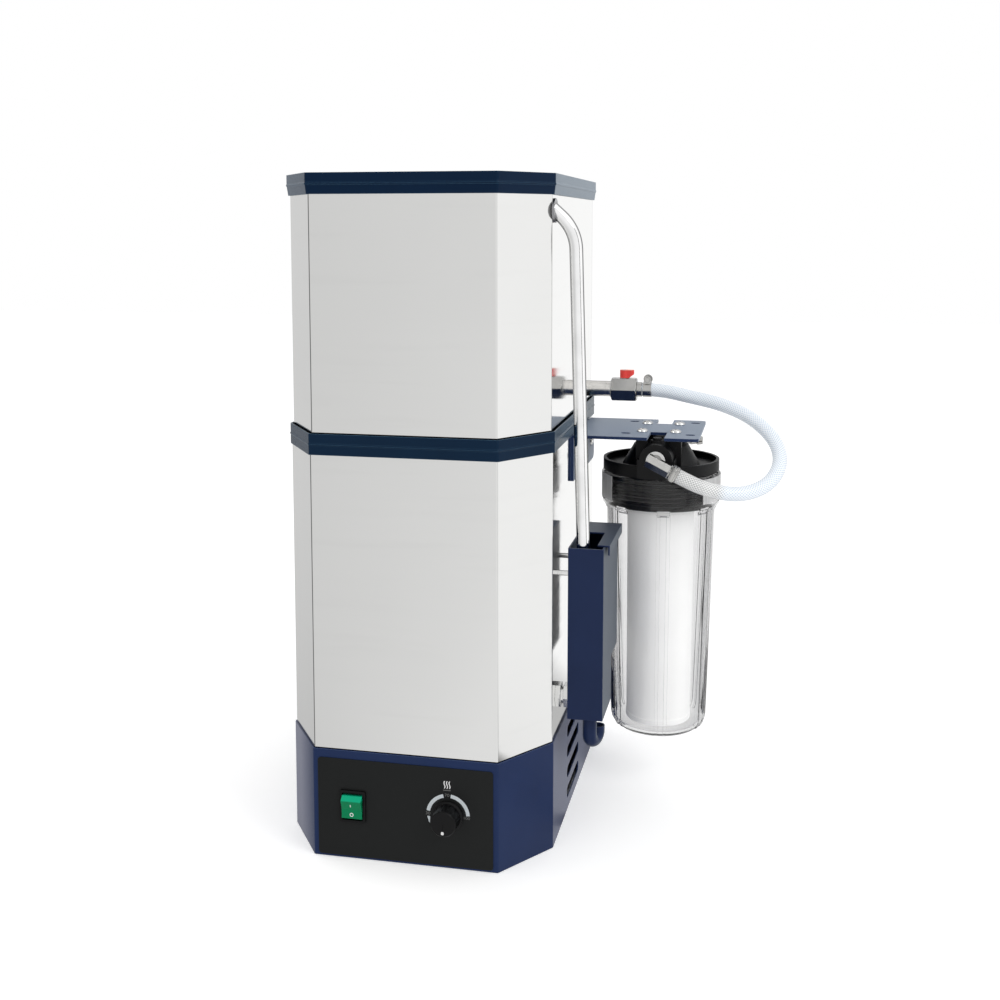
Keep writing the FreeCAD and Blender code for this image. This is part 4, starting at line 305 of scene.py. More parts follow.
def remap(tree, value, source, target=(0, 1)):
    """A Map Range node from one span of numbers to another."""
    node = add_node(tree, "MapRange", Value=value, From_Min=source[0], From_Max=source[1],
                    To_Min=target[0], To_Max=target[1])
    return node.outputs["Result"]


def mix_colour(tree, mask, first, second):
    """Blend two colours by a mask: each is a colour or another node's output."""
    mix = add_node(tree, "Mix")
    mix.data_type = "RGBA"
    return wire(tree, mix, Factor=mask, A=first, B=second).outputs["Result"]


def place_of(tree, kind="Object"):
    """The point being shaded: in the object's own metres, or in its UV map."""
    return add_node(tree, "TexCoord").outputs[kind]


def axes_of(tree, place):
    split = add_node(tree, "SeparateXYZ", Vector=place).outputs
    return split["X"], split["Y"], split["Z"]


def noise_at(tree, place, scale, detail):
    return add_node(tree, "TexNoise", Vector=place, Scale=scale, Detail=detail).outputs["Fac"]


# %% Grain, clouds and streaks
def new_group(name, inputs, outputs):
    """An empty shader group and its two ends: each input is (name, socket kind, default)."""
    group = bpy.data.node_groups.new(name, "ShaderNodeTree")
    for label, kind, default in inputs:
        socket = group.interface.new_socket(name=label, in_out="INPUT", socket_type=kind)
        socket.default_value = default
    for label, kind in outputs:
        group.interface.new_socket(name=label, in_out="OUTPUT", socket_type=kind)
    return group, group.nodes.new("NodeGroupInput").outputs, group.nodes.new("NodeGroupOutput")


def build_grain():
    group, start, end = new_group("fine_grain", [("Scale", FLOAT, 900.0), ("Detail", FLOAT, 2.0)],
                                  [("Height", FLOAT)])
    wire(group, end, Height=noise_at(group, place_of(group), start["Scale"], start["Detail"]))
    return group


def build_clouds():
    group, start, end = new_group(
        "cloudy_tone", [("Colour", COLOUR, (0.5, 0.5, 0.5, 1)), ("Other", COLOUR, (0.4, 0.4, 0.4, 1)),
                        ("Scale", FLOAT, 12.0), ("Amount", FLOAT, 0.5)], [("Colour", COLOUR)])
    spread = remap(group, noise_at(group, place_of(group), start["Scale"], 3.0), (0.35, 0.65))
    share = calculate(group, "MULTIPLY", spread, start["Amount"])
    wire(group, end, Colour=mix_colour(group, share, start["Colour"], start["Other"]))
    return group


def build_streaks():
    group, start, end = new_group(
        "rolled_streaks", [("Along", VECTOR, (2.0, 2.0, 160.0)), ("Detail", FLOAT, 4.0)],
        [("Fac", FLOAT)])
    stretched = join_vectors(group, "MULTIPLY", place_of(group), start["Along"])
    wire(group, end, Fac=noise_at(group, stretched, 1.0, start["Detail"]))
    return group


GRAIN = build_grain()
CLOUDS = build_clouds()
STREAKS = build_streaks()
print("groups", [group.name for group in bpy.data.node_groups])

# %% Edges and lines
LINE_REACH = 1.6


def build_edges():
    """A mask that is 1 along an object's edges: the bevelled normal departs from the true one."""
    group, start, end = new_group(
        "edge_mask", [("Radius", FLOAT, 0.0012), ("Contrast", FLOAT, 5.0)],
        [("Mask", FLOAT), ("Normal", VECTOR)])
    bevel = add_node(group, "Bevel", Radius=start["Radius"])
    bevel.samples = 4
    rounded = bevel.outputs["Normal"]
    true_normal = add_node(group, "NewGeometry").outputs["Normal"]
    match = join_vectors(group, "DOT_PRODUCT", rounded, true_normal)
    departure = calculate(group, "SUBTRACT", 1.0, match)
    mask = calculate(group, "MULTIPLY", departure, start["Contrast"], clamp=True)
    wire(group, end, Mask=mask, Normal=rounded)
    return group


def build_line():
    """A mask that is 1 in a narrow band of one coordinate. It is gone at LINE_REACH half widths."""
    group, start, end = new_group(
        "narrow_line", [("Coordinate", FLOAT, 0.0), ("Middle", FLOAT, 0.0),
                        ("Half Width", FLOAT, 0.0005)], [("Mask", FLOAT)])
    offset = calculate(group, "SUBTRACT", start["Coordinate"], start["Middle"])
    distance = calculate(group, "ABSOLUTE", offset)
    share = calculate(group, "DIVIDE", distance, start["Half Width"])
    mask = calculate(group, "SUBTRACT", LINE_REACH, share, clamp=True)
    wire(group, end, Mask=mask)
    return group


EDGES = build_edges()
LINE = build_line()
FINE_EDGES = {"Radius": 0.0006, "Contrast": 3.0}
print("groups", len(bpy.data.node_groups))

# %% Start a material, and place a group in it
def new_material(name, colour, roughness, metallic=0.0, specular=0.5, **others):
    material = bpy.data.materials.new(name)
    material.use_nodes = True
    tree = material.node_tree
    surface = wire(tree, tree.nodes["Principled BSDF"], Base_Color=colour, Roughness=roughness,
                   Metallic=metallic, Specular_IOR_Level=specular, **others)
    return material, tree, surface


def place_group(tree, group, **values):
    node = add_node(tree, "Group")
    node.node_tree = group
    return wire(tree, node, **values)


def cloudy(tree, colour, other, scale, amount):
    """A colour with soft clouds of another one in it: a number means that share of the first."""
    if not isinstance(other, tuple):
        other = tuple(part * other for part in colour)
    clouds = place_group(tree, CLOUDS, Colour=colour, Other=other, Scale=scale, Amount=amount)
    return clouds.outputs["Colour"]


def add_bump(tree, surface, height, strength, distance, **normal):
    bump = add_node(tree, "Bump", Strength=strength, Distance=distance, Height=height, **normal)
    wire(tree, surface, Normal=bump.outputs["Normal"])


def vary_roughness(tree, surface, mask, low, high):
    wire(tree, surface, Roughness=remap(tree, mask, (0.3, 0.7), (low, high)))


def add_grain(tree, surface, edges, scale, detail, strength, distance):
    """Bump a surface with a fine grain, round its edges, and give back the grain."""
    grains = place_group(tree, GRAIN, Scale=scale, Detail=detail).outputs["Height"]
    add_bump(tree, surface, grains, strength, distance, Normal=edges.outputs["Normal"])
    return grains


def low_angle(tree, begin, full):
    """A mask for painted sheen and painted outline shade: 0 where a surface is seen square on, 1
    where it is seen at a low angle.
    """
    layer = add_node(tree, "LayerWeight", Blend=0.5)
    return remap(tree, layer.outputs["Facing"], (begin, full))


# %% [markdown]
# ## Painted steel
# The base, the two trims, the level box and the bracket are dark blue. The base has a fine
# powder coat with a grain. Where a coat is seen at a low angle its colour is painted toward a
# chalky grey-blue, a painted sheen, strongest at the base's left rear edge and weaker on its
# right, as the light falls there. The trims are smoother and greener. Every fold is painted with
# a pale line, a painted highlight.

# %% Blue coats
LEFT_CHAMFER = (-0.128, -0.090)
RIGHT_CHAMFER = (0.090, 0.120)


def blue_paint(name, colour, fold_highlight, sheen, roughness, grain, specular, shares=(1, 1, 1)):
    """shares: how strong the painted sheen is at the far left, at the left fold and on the right,
    set side by side as the light falls.
    """
    material, tree, surface = new_material(name, colour, roughness, 0.0, specular)
    edges = place_group(tree, EDGES, Radius=0.0009, Contrast=4.0)
    # Painted highlight: the edge mask paints a pale line along every fold, over the cloudy colour.
    clouded_with_lit_folds = mix_colour(tree, edges.outputs["Mask"], cloudy(tree, colour, 0.8, 18.0, 0.6), fold_highlight)
    # Painted sheen: at a low angle the coat is painted toward the sheen colour, with shares that
    # differ from side to side as the light falls.
    across = axes_of(tree, place_of(tree))[0]
    on_left = remap(tree, across, LEFT_CHAMFER, shares[:2])
    on_right = remap(tree, across, RIGHT_CHAMFER, (0, shares[2] - shares[1]))
    share = calculate(tree, "ADD", on_left, on_right)
    painted_sheen_share = calculate(tree, "MULTIPLY", low_angle(tree, 0.45, 0.95), share, clamp=True)
    wire(tree, surface, Base_Color=mix_colour(tree, painted_sheen_share, clouded_with_lit_folds, sheen))
    grains = add_grain(tree, surface, edges, grain, 3.0, 0.15, 0.0004)
    vary_roughness(tree, surface, grains, roughness * 0.85, roughness * 1.15)
    return material


powder_blue = blue_paint("powder_blue", (0.010, 0.026, 0.092), (0.11, 0.15, 0.28),
                         (0.21, 0.22, 0.29), 0.45, 1500.0, 0.18, (1.95, 0.02, 0.46))
bracket_blue = blue_paint("bracket_blue", (0.010, 0.026, 0.085), (0.14, 0.18, 0.30),
                          (0.29, 0.35, 0.44), 0.45, 1500.0, 0.18)
box_blue = blue_paint("box_blue", (0.012, 0.024, 0.074), (0.05, 0.07, 0.17),
                      (0.115, 0.137, 0.165), 0.42, 1700.0, 0.14)
cap_blue = blue_paint("cap_blue", (0.001, 0.014, 0.043), (0.07, 0.16, 0.25),
                      (0.22, 0.29, 0.36), 0.30, 2600.0, 0.09, (0.45, 0.36, 0.87))
band_blue = blue_paint("band_blue", (0.003, 0.018, 0.046), (0.07, 0.16, 0.25),
                       (0.20, 0.28, 0.34), 0.30, 2600.0, 0.09, (0.10, 0.12, 0.36))
print("paints", powder_blue.name, box_blue.name, cap_blue.name, band_blue.name)

# %% [markdown]
# ## Sheet steel and bright fittings
# The casings are stainless sheet, rolled bright and only faintly streaked across, so they mirror
# what stands beside them. Each casing is lapped at its left front fold, where a dark seam runs
# down, and a thin dark line of painted shade runs along its foot, where it stands in the trim
# below it. The tube is polished round. The brass fittings have a warmer, duller nickel plate.

# %% Sheet steel with its seam and its painted foot shade
SEAM_HALF_WIDTH = 0.45
FOLD_HALF_WIDTH = 0.6


def line_mask(tree, coordinate, middle, half_width, where):
    """A narrow line across one coordinate, in mm, drawn only where the other mask is 1."""
    line = place_group(tree, LINE, Coordinate=coordinate, Middle=middle * MM,
                       Half_Width=half_width * MM)
    return calculate(tree, "MULTIPLY", line.outputs["Mask"], where)


def sheet_steel(name, seam_x, front_y, foot_z, fold=None):
    """fold: the X and Y of a rear fold that shows as a thin grey line, where there is one."""
    colour = (0.80, 0.80, 0.79)
    material, tree, surface = new_material(name, colour, 0.07, 1.0)
    across, along, up = axes_of(tree, place_of(tree))
    clouds = cloudy(tree, colour, (0.765, 0.765, 0.755), 4.0, 0.6)
    smears = place_group(tree, STREAKS, Along=(7.0, 7.0, 90.0), Detail=4.0)
    smear_mask = remap(tree, smears.outputs["Fac"], (0.55, 0.85), (0, 0.18))
    tone = mix_colour(tree, smear_mask, clouds, (0.68, 0.68, 0.67))
    at_front = calculate(tree, "LESS_THAN", along, front_y * MM)
    seam = line_mask(tree, across, seam_x, SEAM_HALF_WIDTH, at_front)
    tone = mix_colour(tree, seam, tone, (0.13, 0.13, 0.13))
    if fold is not None:
        at_side = calculate(tree, "GREATER_THAN", across, fold[0] * MM)
        bend = line_mask(tree, along, fold[1], FOLD_HALF_WIDTH, at_side)
        tone = mix_colour(tree, bend, tone, (0.35, 0.35, 0.35))
    # Painted shade: below foot_z the casing is painted near black, where it stands in the part below
    # it.
    painted_foot_shade = calculate(tree, "LESS_THAN", up, foot_z * MM)
    tone = mix_colour(tree, painted_foot_shade, tone, (0.02, 0.02, 0.025))
    wire(tree, surface, Base_Color=tone)
    streaks = place_group(tree, STREAKS, Along=(1.5, 1.5, 150.0), Detail=5.0).outputs["Fac"]
    vary_roughness(tree, surface, streaks, 0.05, 0.10)
    add_bump(tree, surface, streaks, 0.02, 0.0003)
    return material


lower_steel = sheet_steel("lower_sheet_steel", -88.21, -187.5, 105.4)
upper_steel = sheet_steel("upper_sheet_steel", -87.28, -185.7, 404.6, (126.0, 126.4))
print("steels", lower_steel.name, upper_steel.name)

# %% Bright, plated and turned metals
def plated(name, colour, low, high, scale, painted_rim=None, reach=(0.55, 0.95)):
    """A bright metal. With a rim colour its outline is painted darker, a painted reflection like
    the dark outline of a polished rod.
    """
    material, tree, surface = new_material(name, colour, low, 1.0)
    tone = cloudy(tree, colour, 0.86, scale, 0.7)
    # Painted reflection: the outline is painted toward the dark rim colour.
    if painted_rim is not None:
        tone = mix_colour(tree, low_angle(tree, *reach), tone, painted_rim)
    wire(tree, surface, Base_Color=tone)
    edges = place_group(tree, EDGES, **FINE_EDGES)
    grains = add_grain(tree, surface, edges, 1200.0, 2.0, 0.05, 0.0002)
    vary_roughness(tree, surface, grains, low, high)
    return material


bright = plated("bright_steel", (0.82, 0.82, 0.81), 0.08, 0.17, 60.0, (0.26, 0.26, 0.27),
                (0.45, 0.90))
polished = plated("polished_tube", (0.98, 0.98, 0.98), 0.04, 0.08, 40.0, (0.05, 0.05, 0.055),
                  (0.34, 0.72))
nickel = plated("nickel_plate", (0.52, 0.515, 0.50), 0.12, 0.22, 90.0, (0.16, 0.16, 0.155),
                (0.40, 0.90))
warm_pipe = plated("drawn_pipe", (0.84, 0.82, 0.79), 0.16, 0.28, 200.0, (0.12, 0.115, 0.11),
                   (0.35, 0.85))
dull_steel = plated("dull_steel", (0.36, 0.36, 0.37), 0.25, 0.40, 60.0)
zinc = plated("zinc_plate", (0.62, 0.64, 0.66), 0.35, 0.5, 30.0)
brass = plated("turned_brass", (0.72, 0.56, 0.28), 0.22, 0.34, 70.0)
print("metals", bright.name, polished.name, nickel.name, zinc.name, brass.name)

# %% [markdown]
# ## Plastics and rubber
# The panel is a fine matte film, the knob and the switch frame are satin mouldings, and the
# filter head is a heavier moulding with a coarse skin. Each moulding has a painted highlight
# along its edges. The rocker is green, and its top slope is painted lighter, painted light that
# stands in for a lamp inside it. The valve's grip is a soft red, painted paler where it is seen
# at a low angle, a painted sheen.

# %% Moulded plastics
def moulded(name, colour, roughness, grain, bump, specular=0.5, edge=None):
    material, tree, surface = new_material(name, colour, roughness, 0.0, specular)
    edges = place_group(tree, EDGES, **FINE_EDGES)
    # Painted highlight: the edge mask paints a paler colour along every edge.
    light = edge or tuple(min(1.0, part * 1.6 + 0.01) for part in colour)
    tone = mix_colour(tree, edges.outputs["Mask"], colour, light)
    wire(tree, surface, Base_Color=tone)
    grains = add_grain(tree, surface, edges, grain, 2.0, bump, 0.0003)
    vary_roughness(tree, surface, grains, roughness * 0.85, roughness * 1.15)
    return material


panel_film = moulded("panel_film", (0.0105, 0.0115, 0.0115), 0.50, 2600.0, 0.08, 0.15)
satin_black = moulded("satin_black", (0.0035, 0.0035, 0.004), 0.34, 1500.0, 0.08, 0.16)
head_black = moulded("head_black", (0.004, 0.004, 0.0045), 0.46, 900.0, 0.12, 0.22,
                     (0.030, 0.030, 0.032))
white_satin = moulded("white_satin", (0.93, 0.93, 0.92), 0.40, 900.0, 0.05)
rubber_black = moulded("pad_rubber", (0.02, 0.02, 0.02), 0.75, 1200.0, 0.3)
print("plastics", panel_film.name, satin_black.name, head_black.name)

# %% The two coloured plastics
ROCKER_SLOPE = (0.0580, 0.0590)


def rocker_plastic():
    """The raised top slope is painted a lighter green, painted light that stands in for a lamp
    inside the rocker, and its edges get a painted highlight.
    """
    material, tree, surface = new_material("rocker_green", (0.0, 0.22, 0.09), 0.22, 0.0, 0.12)
    # Painted light: the green is lighter above the slope's height.
    on_slope = remap(tree, axes_of(tree, place_of(tree))[2], ROCKER_SLOPE)
    tone = mix_colour(tree, on_slope, (0.0, 0.22, 0.085), (0.004, 0.44, 0.23))
    edges = place_group(tree, EDGES, **FINE_EDGES)
    # Painted highlight along the rocker's edges.
    edged = mix_colour(tree, edges.outputs["Mask"], tone, (0.03, 0.50, 0.27))
    wire(tree, surface, Base_Color=edged)
    wire(tree, surface, Normal=edges.outputs["Normal"])
    return material


def grip_plastic():
    """A soft vinyl sleeve. Its red is painted paler where it is seen at a low angle, a painted
    sheen, and lighter along its edges, a painted highlight.
    """
    material, tree, surface = new_material("grip_red", (0.80, 0.035, 0.040), 0.30)
    edges = place_group(tree, EDGES, **FINE_EDGES)
    # Painted highlight along the edges, then painted sheen at a low angle.
    edged = mix_colour(tree, edges.outputs["Mask"], (0.95, 0.055, 0.045), (1.0, 0.20, 0.13))
    raked = mix_colour(tree, low_angle(tree, 0.60, 0.88), edged, (1.0, 0.42, 0.28))
    wire(tree, surface, Base_Color=raked)
    add_grain(tree, surface, edges, 700.0, 2.0, 0.03, 0.0003)
    return material


green_gloss = rocker_plastic()
red_vinyl = grip_plastic()
print("coloured plastics", green_gloss.name, red_vinyl.name)

# %% [markdown]
# ## Clear plastic and wound fibre
# The bowl is a thick clear moulding. Light goes through it and bends at its edges, and the grey
# that this gives is painted into its colour: painted shade along its edges and toward its
# outline. Daylight also reaches what stands inside it, so the plastic lets shadow rays and the
# soft bounces pass. Its grips are frosted. The cartridge inside is wound from soft white fibre,
# dull and a little uneven.

# %% The bowl's plastic, its frosted grips and the cartridge's fibre
FIBRE_GLOW = 0.15


def clear_plastic():
    clear = (0.955, 0.955, 0.955)
    material, tree, surface = new_material("clear_bowl", clear, 0.015, Transmission_Weight=1.0,
                                           IOR=1.30)
    edges = place_group(tree, EDGES, Radius=0.0008, Contrast=4.0)
    # Painted shade: the plastic is painted grey along its edges and toward its outline.
    edged = mix_colour(tree, edges.outputs["Mask"], clear, (0.55, 0.55, 0.56))
    tone = mix_colour(tree, low_angle(tree, 0.15, 1.0), edged, (0.35, 0.35, 0.36))
    wire(tree, surface, Base_Color=tone)
    rays = add_node(tree, "LightPath").outputs
    soft = calculate(tree, "MAXIMUM", rays["Is Shadow Ray"], rays["Is Diffuse Ray"])
    wire(tree, surface, Alpha=calculate(tree, "SUBTRACT", 1.0, soft))
    grains = place_group(tree, GRAIN, Scale=60.0, Detail=1.0)
    add_bump(tree, surface, grains.outputs["Height"], 0.02, 0.0005)
    return material


def frosted_plastic():
    material, tree, surface = new_material("frosted_grip", (0.80, 0.80, 0.80), 0.45)
    streaks = place_group(tree, STREAKS, Along=(900.0, 900.0, 15.0), Detail=2.0).outputs["Fac"]
    wire(tree, surface, Alpha=remap(tree, streaks, (0.3, 0.7), (0.40, 0.66)))
    add_bump(tree, surface, streaks, 0.3, 0.0004)
    return material


def wound_fibre():
    """The glow stands for the daylight that the bowl's wall scatters onto the fibre."""
    colour = (0.96, 0.96, 0.955)
    material, tree, surface = new_material("wound_fibre", colour, 0.85, Emission_Color=(1, 1, 1),
                                           Emission_Strength=FIBRE_GLOW)
    clouds = cloudy(tree, colour, (0.91, 0.91, 0.905), 30.0, 0.7)
    wire(tree, surface, Base_Color=clouds)
    streaks = place_group(tree, STREAKS, Along=(60.0, 60.0, 700.0), Detail=3.0)
    add_bump(tree, surface, streaks.outputs["Fac"], 0.25, 0.0005)
    return material


bowl_clear = clear_plastic()
grip_frost = frosted_plastic()
fibre = wound_fibre()
print("clear and fibre", bowl_clear.name, grip_frost.name, fibre.name)

# %% Dress the CAD nodes
FINISHES = {
    powder_blue: ["base_housing"],
    bracket_blue: ["filter_bracket"],
    box_blue: ["level_box", "level_box_cover", "drain_spout"],
    cap_blue: ["top_cap"],
    band_blue: ["mid_band"],
    lower_steel: ["lower_casing", "boiler_tank", "boiler_lid"],
    upper_steel: ["upper_casing", "condensate_tray", "splash_hood", "coil_hangers"],
    polished: ["cooling_outlet_tube"],
    dull_steel: ["outlet_flange"],
    bright: ["level_pipe", "level_pipe_nuts", "overflow_pipe", "box_spacers",
             "box_screws", "pan_screws", "thermostat_nut", "thermostat_shaft", "cooling_coil",
             "heating_element", "level_probe", "distillate_outlet", "bulkhead_nuts",
             "bracket_screws", "filter_screws", "handle_screw", "valve_ball", "valve_stem"],
    nickel: ["valve_body", "hose_tail", "filter_fittings", "hose_clamps", "clamp_screws"],
    warm_pipe: ["inlet_pipe"],
    zinc: ["base_floor"],
    brass: ["heater_nuts"],
    panel_film: ["control_panel"],
    satin_black: ["switch_frame", "control_knob", "thermostat", "cable_gland"],
    head_black: ["filter_head", "relief_button"],
    green_gloss: ["switch_rocker"],
    red_vinyl: ["valve_handle"],
    white_satin: ["seal_ring", "port_washers", "cartridge_caps", "terminal_block"],
    rubber_black: ["rubber_pads", "bowl_seal"],
    bowl_clear: ["filter_bowl"],
    fibre: ["filter_cartridge"],
}
for finish, names in FINISHES.items():
    for name in names:
        nodes[name].data.materials.clear()
        nodes[name].data.materials.append(finish)
dressed = sum(len(names) for names in FINISHES.values())
print("dressed", dressed, "of", len(nodes))

# %% [markdown]
# ## The braided hose
# The tube's wall is clear and faintly blue, and a close braid of white yarns crosses in it at 45
# degrees. The tube follows the line drawn above. Its mesh has a UV map that runs once round and
# counts hose girths along, so that the yarns can follow the hose round its bends. Its last
# stretch, which is pushed over the filter's fitting, is bleached white.

# %% Yarn pattern and hose plastic
YARNS_ROUND = 15.0
BLEACHED_FROM = (6.15, 6.35)
HOSE_GLOW = 0.065


def build_braid():
    """Two families of slanting yarns in UV space: the mask is 1 on a yarn."""
    group, start, end = new_group("braid", [("Yarns", FLOAT, 9.0), ("Width", FLOAT, 0.5)],
                                  [("Mask", FLOAT), ("Height", FLOAT)])
    around, along = axes_of(group, place_of(group, "UV"))[:2]
    waves = []
    for operation in ("ADD", "SUBTRACT"):
        slant = calculate(group, operation, around, along)
        counted = calculate(group, "MULTIPLY", slant, start["Yarns"])
        folded = calculate(group, "PINGPONG", counted, 0.5)
        waves.append(calculate(group, "MULTIPLY", folded, 2.0))
    higher = calculate(group, "MAXIMUM", *waves)
    mask = remap(group, higher, (start["Width"], 0.85))
    wire(group, end, Mask=mask)
    wire(group, end, Height=higher)
    return group


def hose_plastic():
    """Blue for most of its length; bleached and clearer from this many girths along. The glow
    stands for the light that passes through its wall."""
    material, tree, surface = new_material(
        "hose_plastic", (0.70, 0.80, 0.90), 0.25, Emission_Color=(0.90, 0.95, 1.0),
        Emission_Strength=HOSE_GLOW)
    braid = place_group(tree, build_braid(), Yarns=YARNS_ROUND, Width=0.35)
    yarn = braid.outputs["Mask"]
    along = axes_of(tree, place_of(tree, "UV"))[1]
    bleached = remap(tree, along, BLEACHED_FROM)
    blue = mix_colour(tree, yarn, (0.72, 0.85, 1.0), (0.96, 0.98, 1.0))
    white = mix_colour(tree, yarn, (0.50, 0.50, 0.50), (0.93, 0.93, 0.92))
    wire(tree, surface, Base_Color=mix_colour(tree, bleached, blue, white))
    closed = remap(tree, yarn, (0, 1), (0.70, 0.93))
    open_gap = calculate(tree, "SUBTRACT", 1.0, yarn, clamp=True)
    thinned = calculate(tree, "MULTIPLY", open_gap, bleached)
    opacity = calculate(tree, "SUBTRACT", closed, calculate(tree, "MULTIPLY", thinned, 0.5))
    wire(tree, surface, Alpha=opacity)
    add_bump(tree, surface, braid.outputs["Height"], 0.12, 0.0004)
    return material


# %% Sweep the tube along the line
def sweep_tube(name, path, radius, sides):
    """A tube round a path, with a UV map: once round across, hose girths along."""
    build = bmesh.new()
    uv_layer = build.loops.layers.uv.new("hose_uv")
    normal = Vector((0, 0, 1))
    rings = []
    run = [0.0]
    for index, point in enumerate(path):
        ahead = path[min(index + 1, len(path) - 1)]
        behind = path[max(index - 1, 0)]
        tangent = (ahead - behind).normalized()
        normal = (normal - tangent * normal.dot(tangent)).normalized()
        side = tangent.cross(normal)
        ring = []
        for corner in range(sides):
            angle = 2 * math.pi * corner / sides
            ring.append(build.verts.new(point + radius * (math.cos(angle) * normal
                                                          + math.sin(angle) * side)))
        rings.append(ring)
        if index:
            run.append(run[-1] + (point - path[index - 1]).length)
    for index in range(len(path) - 1):
        for corner in range(sides):
            following = (corner + 1) % sides
            face = build.faces.new((rings[index][corner], rings[index][following],
                                    rings[index + 1][following], rings[index + 1][corner]))
            face.smooth = True
            around = (corner / sides, (corner + 1) / sides)
            along = (run[index] / (math.pi * 2 * radius), run[index + 1] / (math.pi * 2 * radius))
            for loop, place in zip(face.loops, ((around[0], along[0]), (around[1], along[0]),
                                                (around[1], along[1]), (around[0], along[1]))):
                loop[uv_layer].uv = place
    build.faces.new(list(reversed(rings[0])))
    build.faces.new(rings[-1])
    mesh = bpy.data.meshes.new(name)
    bmesh.ops.recalc_face_normals(build, faces=build.faces)
    build.to_mesh(mesh)
    build.free()
    obj = bpy.data.objects.new(name, mesh)
    bpy.context.scene.collection.objects.link(obj)
    return obj


hose = sweep_tube("braided_hose", hose_path, HOSE_DIAMETER / 2, 40)
finish_piece(hose, "cabinet", hose_plastic(), "braided_hose", "inlet_hose")
print("hose", len(hose.data.polygons), "faces")

# %% [markdown]
# ## The clear bowl
# The bowl screws up into the black head. It is one thick moulding: a tapered wall with a rounded
# foot, a wide collar with a thread inside, pairs of ribs down the wall and lugs under the collar
# for a spanner. A lathe profile gives the wall its true thickness, which is what makes the
# plastic bend light at its outline. The ribs and lugs are then drawn out of the wall's faces.

# %% Turn the bowl
FILTER_MIDDLE = (213.5, 40.5)
BOWL_TURN = 8.0
THREAD_TOP = 335.0
THREAD_PITCH = 3.6
THREAD_TURNS = 6

bowl_profile = [
    (20, 65.0), (34, 65.6), (42, 67.6), (46.5, 71.2), (49, 75.5), (50, 80), (50.4, 92),
    (56.5, 303.5), (57.3, 305), (60.3, 309.5), (61.4, 311.5), (61.5, 313), (61.5, 338.4),
    (61.0, 339.4), (60.2, 339.6), (56.0, 339.6), (55.6, 339.0)]
for turn in range(THREAD_TURNS):
    crest = THREAD_TOP - turn * THREAD_PITCH
    bowl_profile += [(55.6, crest), (56.0, crest - 0.9), (56.0, crest - 1.7),
                     (55.6, crest - 2.6)]
bowl_profile += [
    (55.6, 310), (53.5, 306.5), (53.3, 304), (46.8, 80), (45.5, 75.5), (42.5, 72), (38, 70),
    (30, 68.8), (15, 68.4)]
bowl = turn_on_lathe("clear_bowl", bowl_profile, FILTER_MIDDLE, 384)
print("bowl", len(bowl.data.vertices), "points")

# %% Draw out the ribs and the lugs
RIB_PAIRS = 6
RIB_SPACING = 9.5
RIB_HALF_WIDTH = 1.9
LUG_COUNT = 8
LUG_HALF_WIDTH = 6.2
LUG_DROP = 2.2
RIB_GROWTH = 1.019
RIB_MID_HEIGHT = 190.0
RIB_SPAN = (73, 303)
LUG_SPAN = (303.6, 309.4)


def bearing(point):
    """Degrees round the filter from its front, the way the bowl screws."""
    return math.degrees(math.atan2(point.y - FILTER_MIDDLE[1] * MM,
                                   point.x - FILTER_MIDDLE[0] * MM)) + 90 - BOWL_TURN


def near_step(angle, count, offset, half_width):
    """True where an angle is within half_width of one of count even steps plus an offset."""
    step = 360 / count
    away = (angle - offset + step / 2) % step - step / 2
    return abs(away) < half_width


def on_rib(middle, normal):
    outward_x = middle.x - FILTER_MIDDLE[0] * MM
    outward_y = middle.y - FILTER_MIDDLE[1] * MM
    outside = (normal.x * outward_x + normal.y * outward_y
               > 0.5 * math.hypot(outward_x, outward_y))
    in_height = RIB_SPAN[0] * MM < middle.z < RIB_SPAN[1] * MM
    return outside and in_height and any(
        near_step(bearing(middle), RIB_PAIRS, side * RIB_SPACING / 2, RIB_HALF_WIDTH)
        for side in (-1, 1))


def on_lug(middle, normal):
    return (LUG_SPAN[0] * MM < middle.z < LUG_SPAN[1] * MM and normal.z < -0.1
            and near_step(bearing(middle), LUG_COUNT, 0, LUG_HALF_WIDTH))


start_editing(bowl)
rib_faces = pick_faces(bowl, on_rib)
extrude_by((0, 0, 0))
bpy.ops.transform.resize(value=(RIB_GROWTH, RIB_GROWTH, 1), center_override=(
    FILTER_MIDDLE[0] * MM, FILTER_MIDDLE[1] * MM, RIB_MID_HEIGHT * MM))
lug_faces = pick_faces(bowl, on_lug)
extrude_by((0, 0, -LUG_DROP * MM))
stop_editing()
smooth(bowl, 32)
finish_piece(bowl, "bowl", bowl_clear, "clear_plastic", "filter_bowl")
print("rib faces", rib_faces, "lug faces", lug_faces)

# %% [markdown]
# ## The cartridge
# The cartridge is a tall white roll of wound fibre between two moulded ends, standing on a short
# foot in the middle of the bowl. It is drawn in one piece.

# %% Turn the cartridge
cartridge_profile = [
    (8, 68.6), (10, 69.2), (10, 75), (33.6, 75), (34.8, 76.2), (34.9, 80.6), (34.3, 81.2),
    (34.3, 316.2), (34.9, 316.8), (34.8, 320.8), (33.8, 322), (14, 322)]
cartridge = turn_on_lathe("wound_cartridge", cartridge_profile, FILTER_MIDDLE, 128)
smooth(cartridge, 40)
finish_piece(cartridge, "bowl", fibre, "cartridge_white", "filter_cartridge", "cartridge_caps")
print("cartridge", len(cartridge.data.vertices), "points")

# %% [markdown]
# ## The collar's grips
# On its left and right the collar is frosted, so that a wet hand can hold it. Each grip is a
# thin curved pad on the collar, cut from one short turned ring and given its thickness.

# %% Cut the grips from a ring
GRIP_HALF = 41.0
GRIP_RADIUS = 61.55
GRIP_BOTTOM = 313.0
GRIP_TOP = 338.6
GRIP_THICKNESS = 0.35


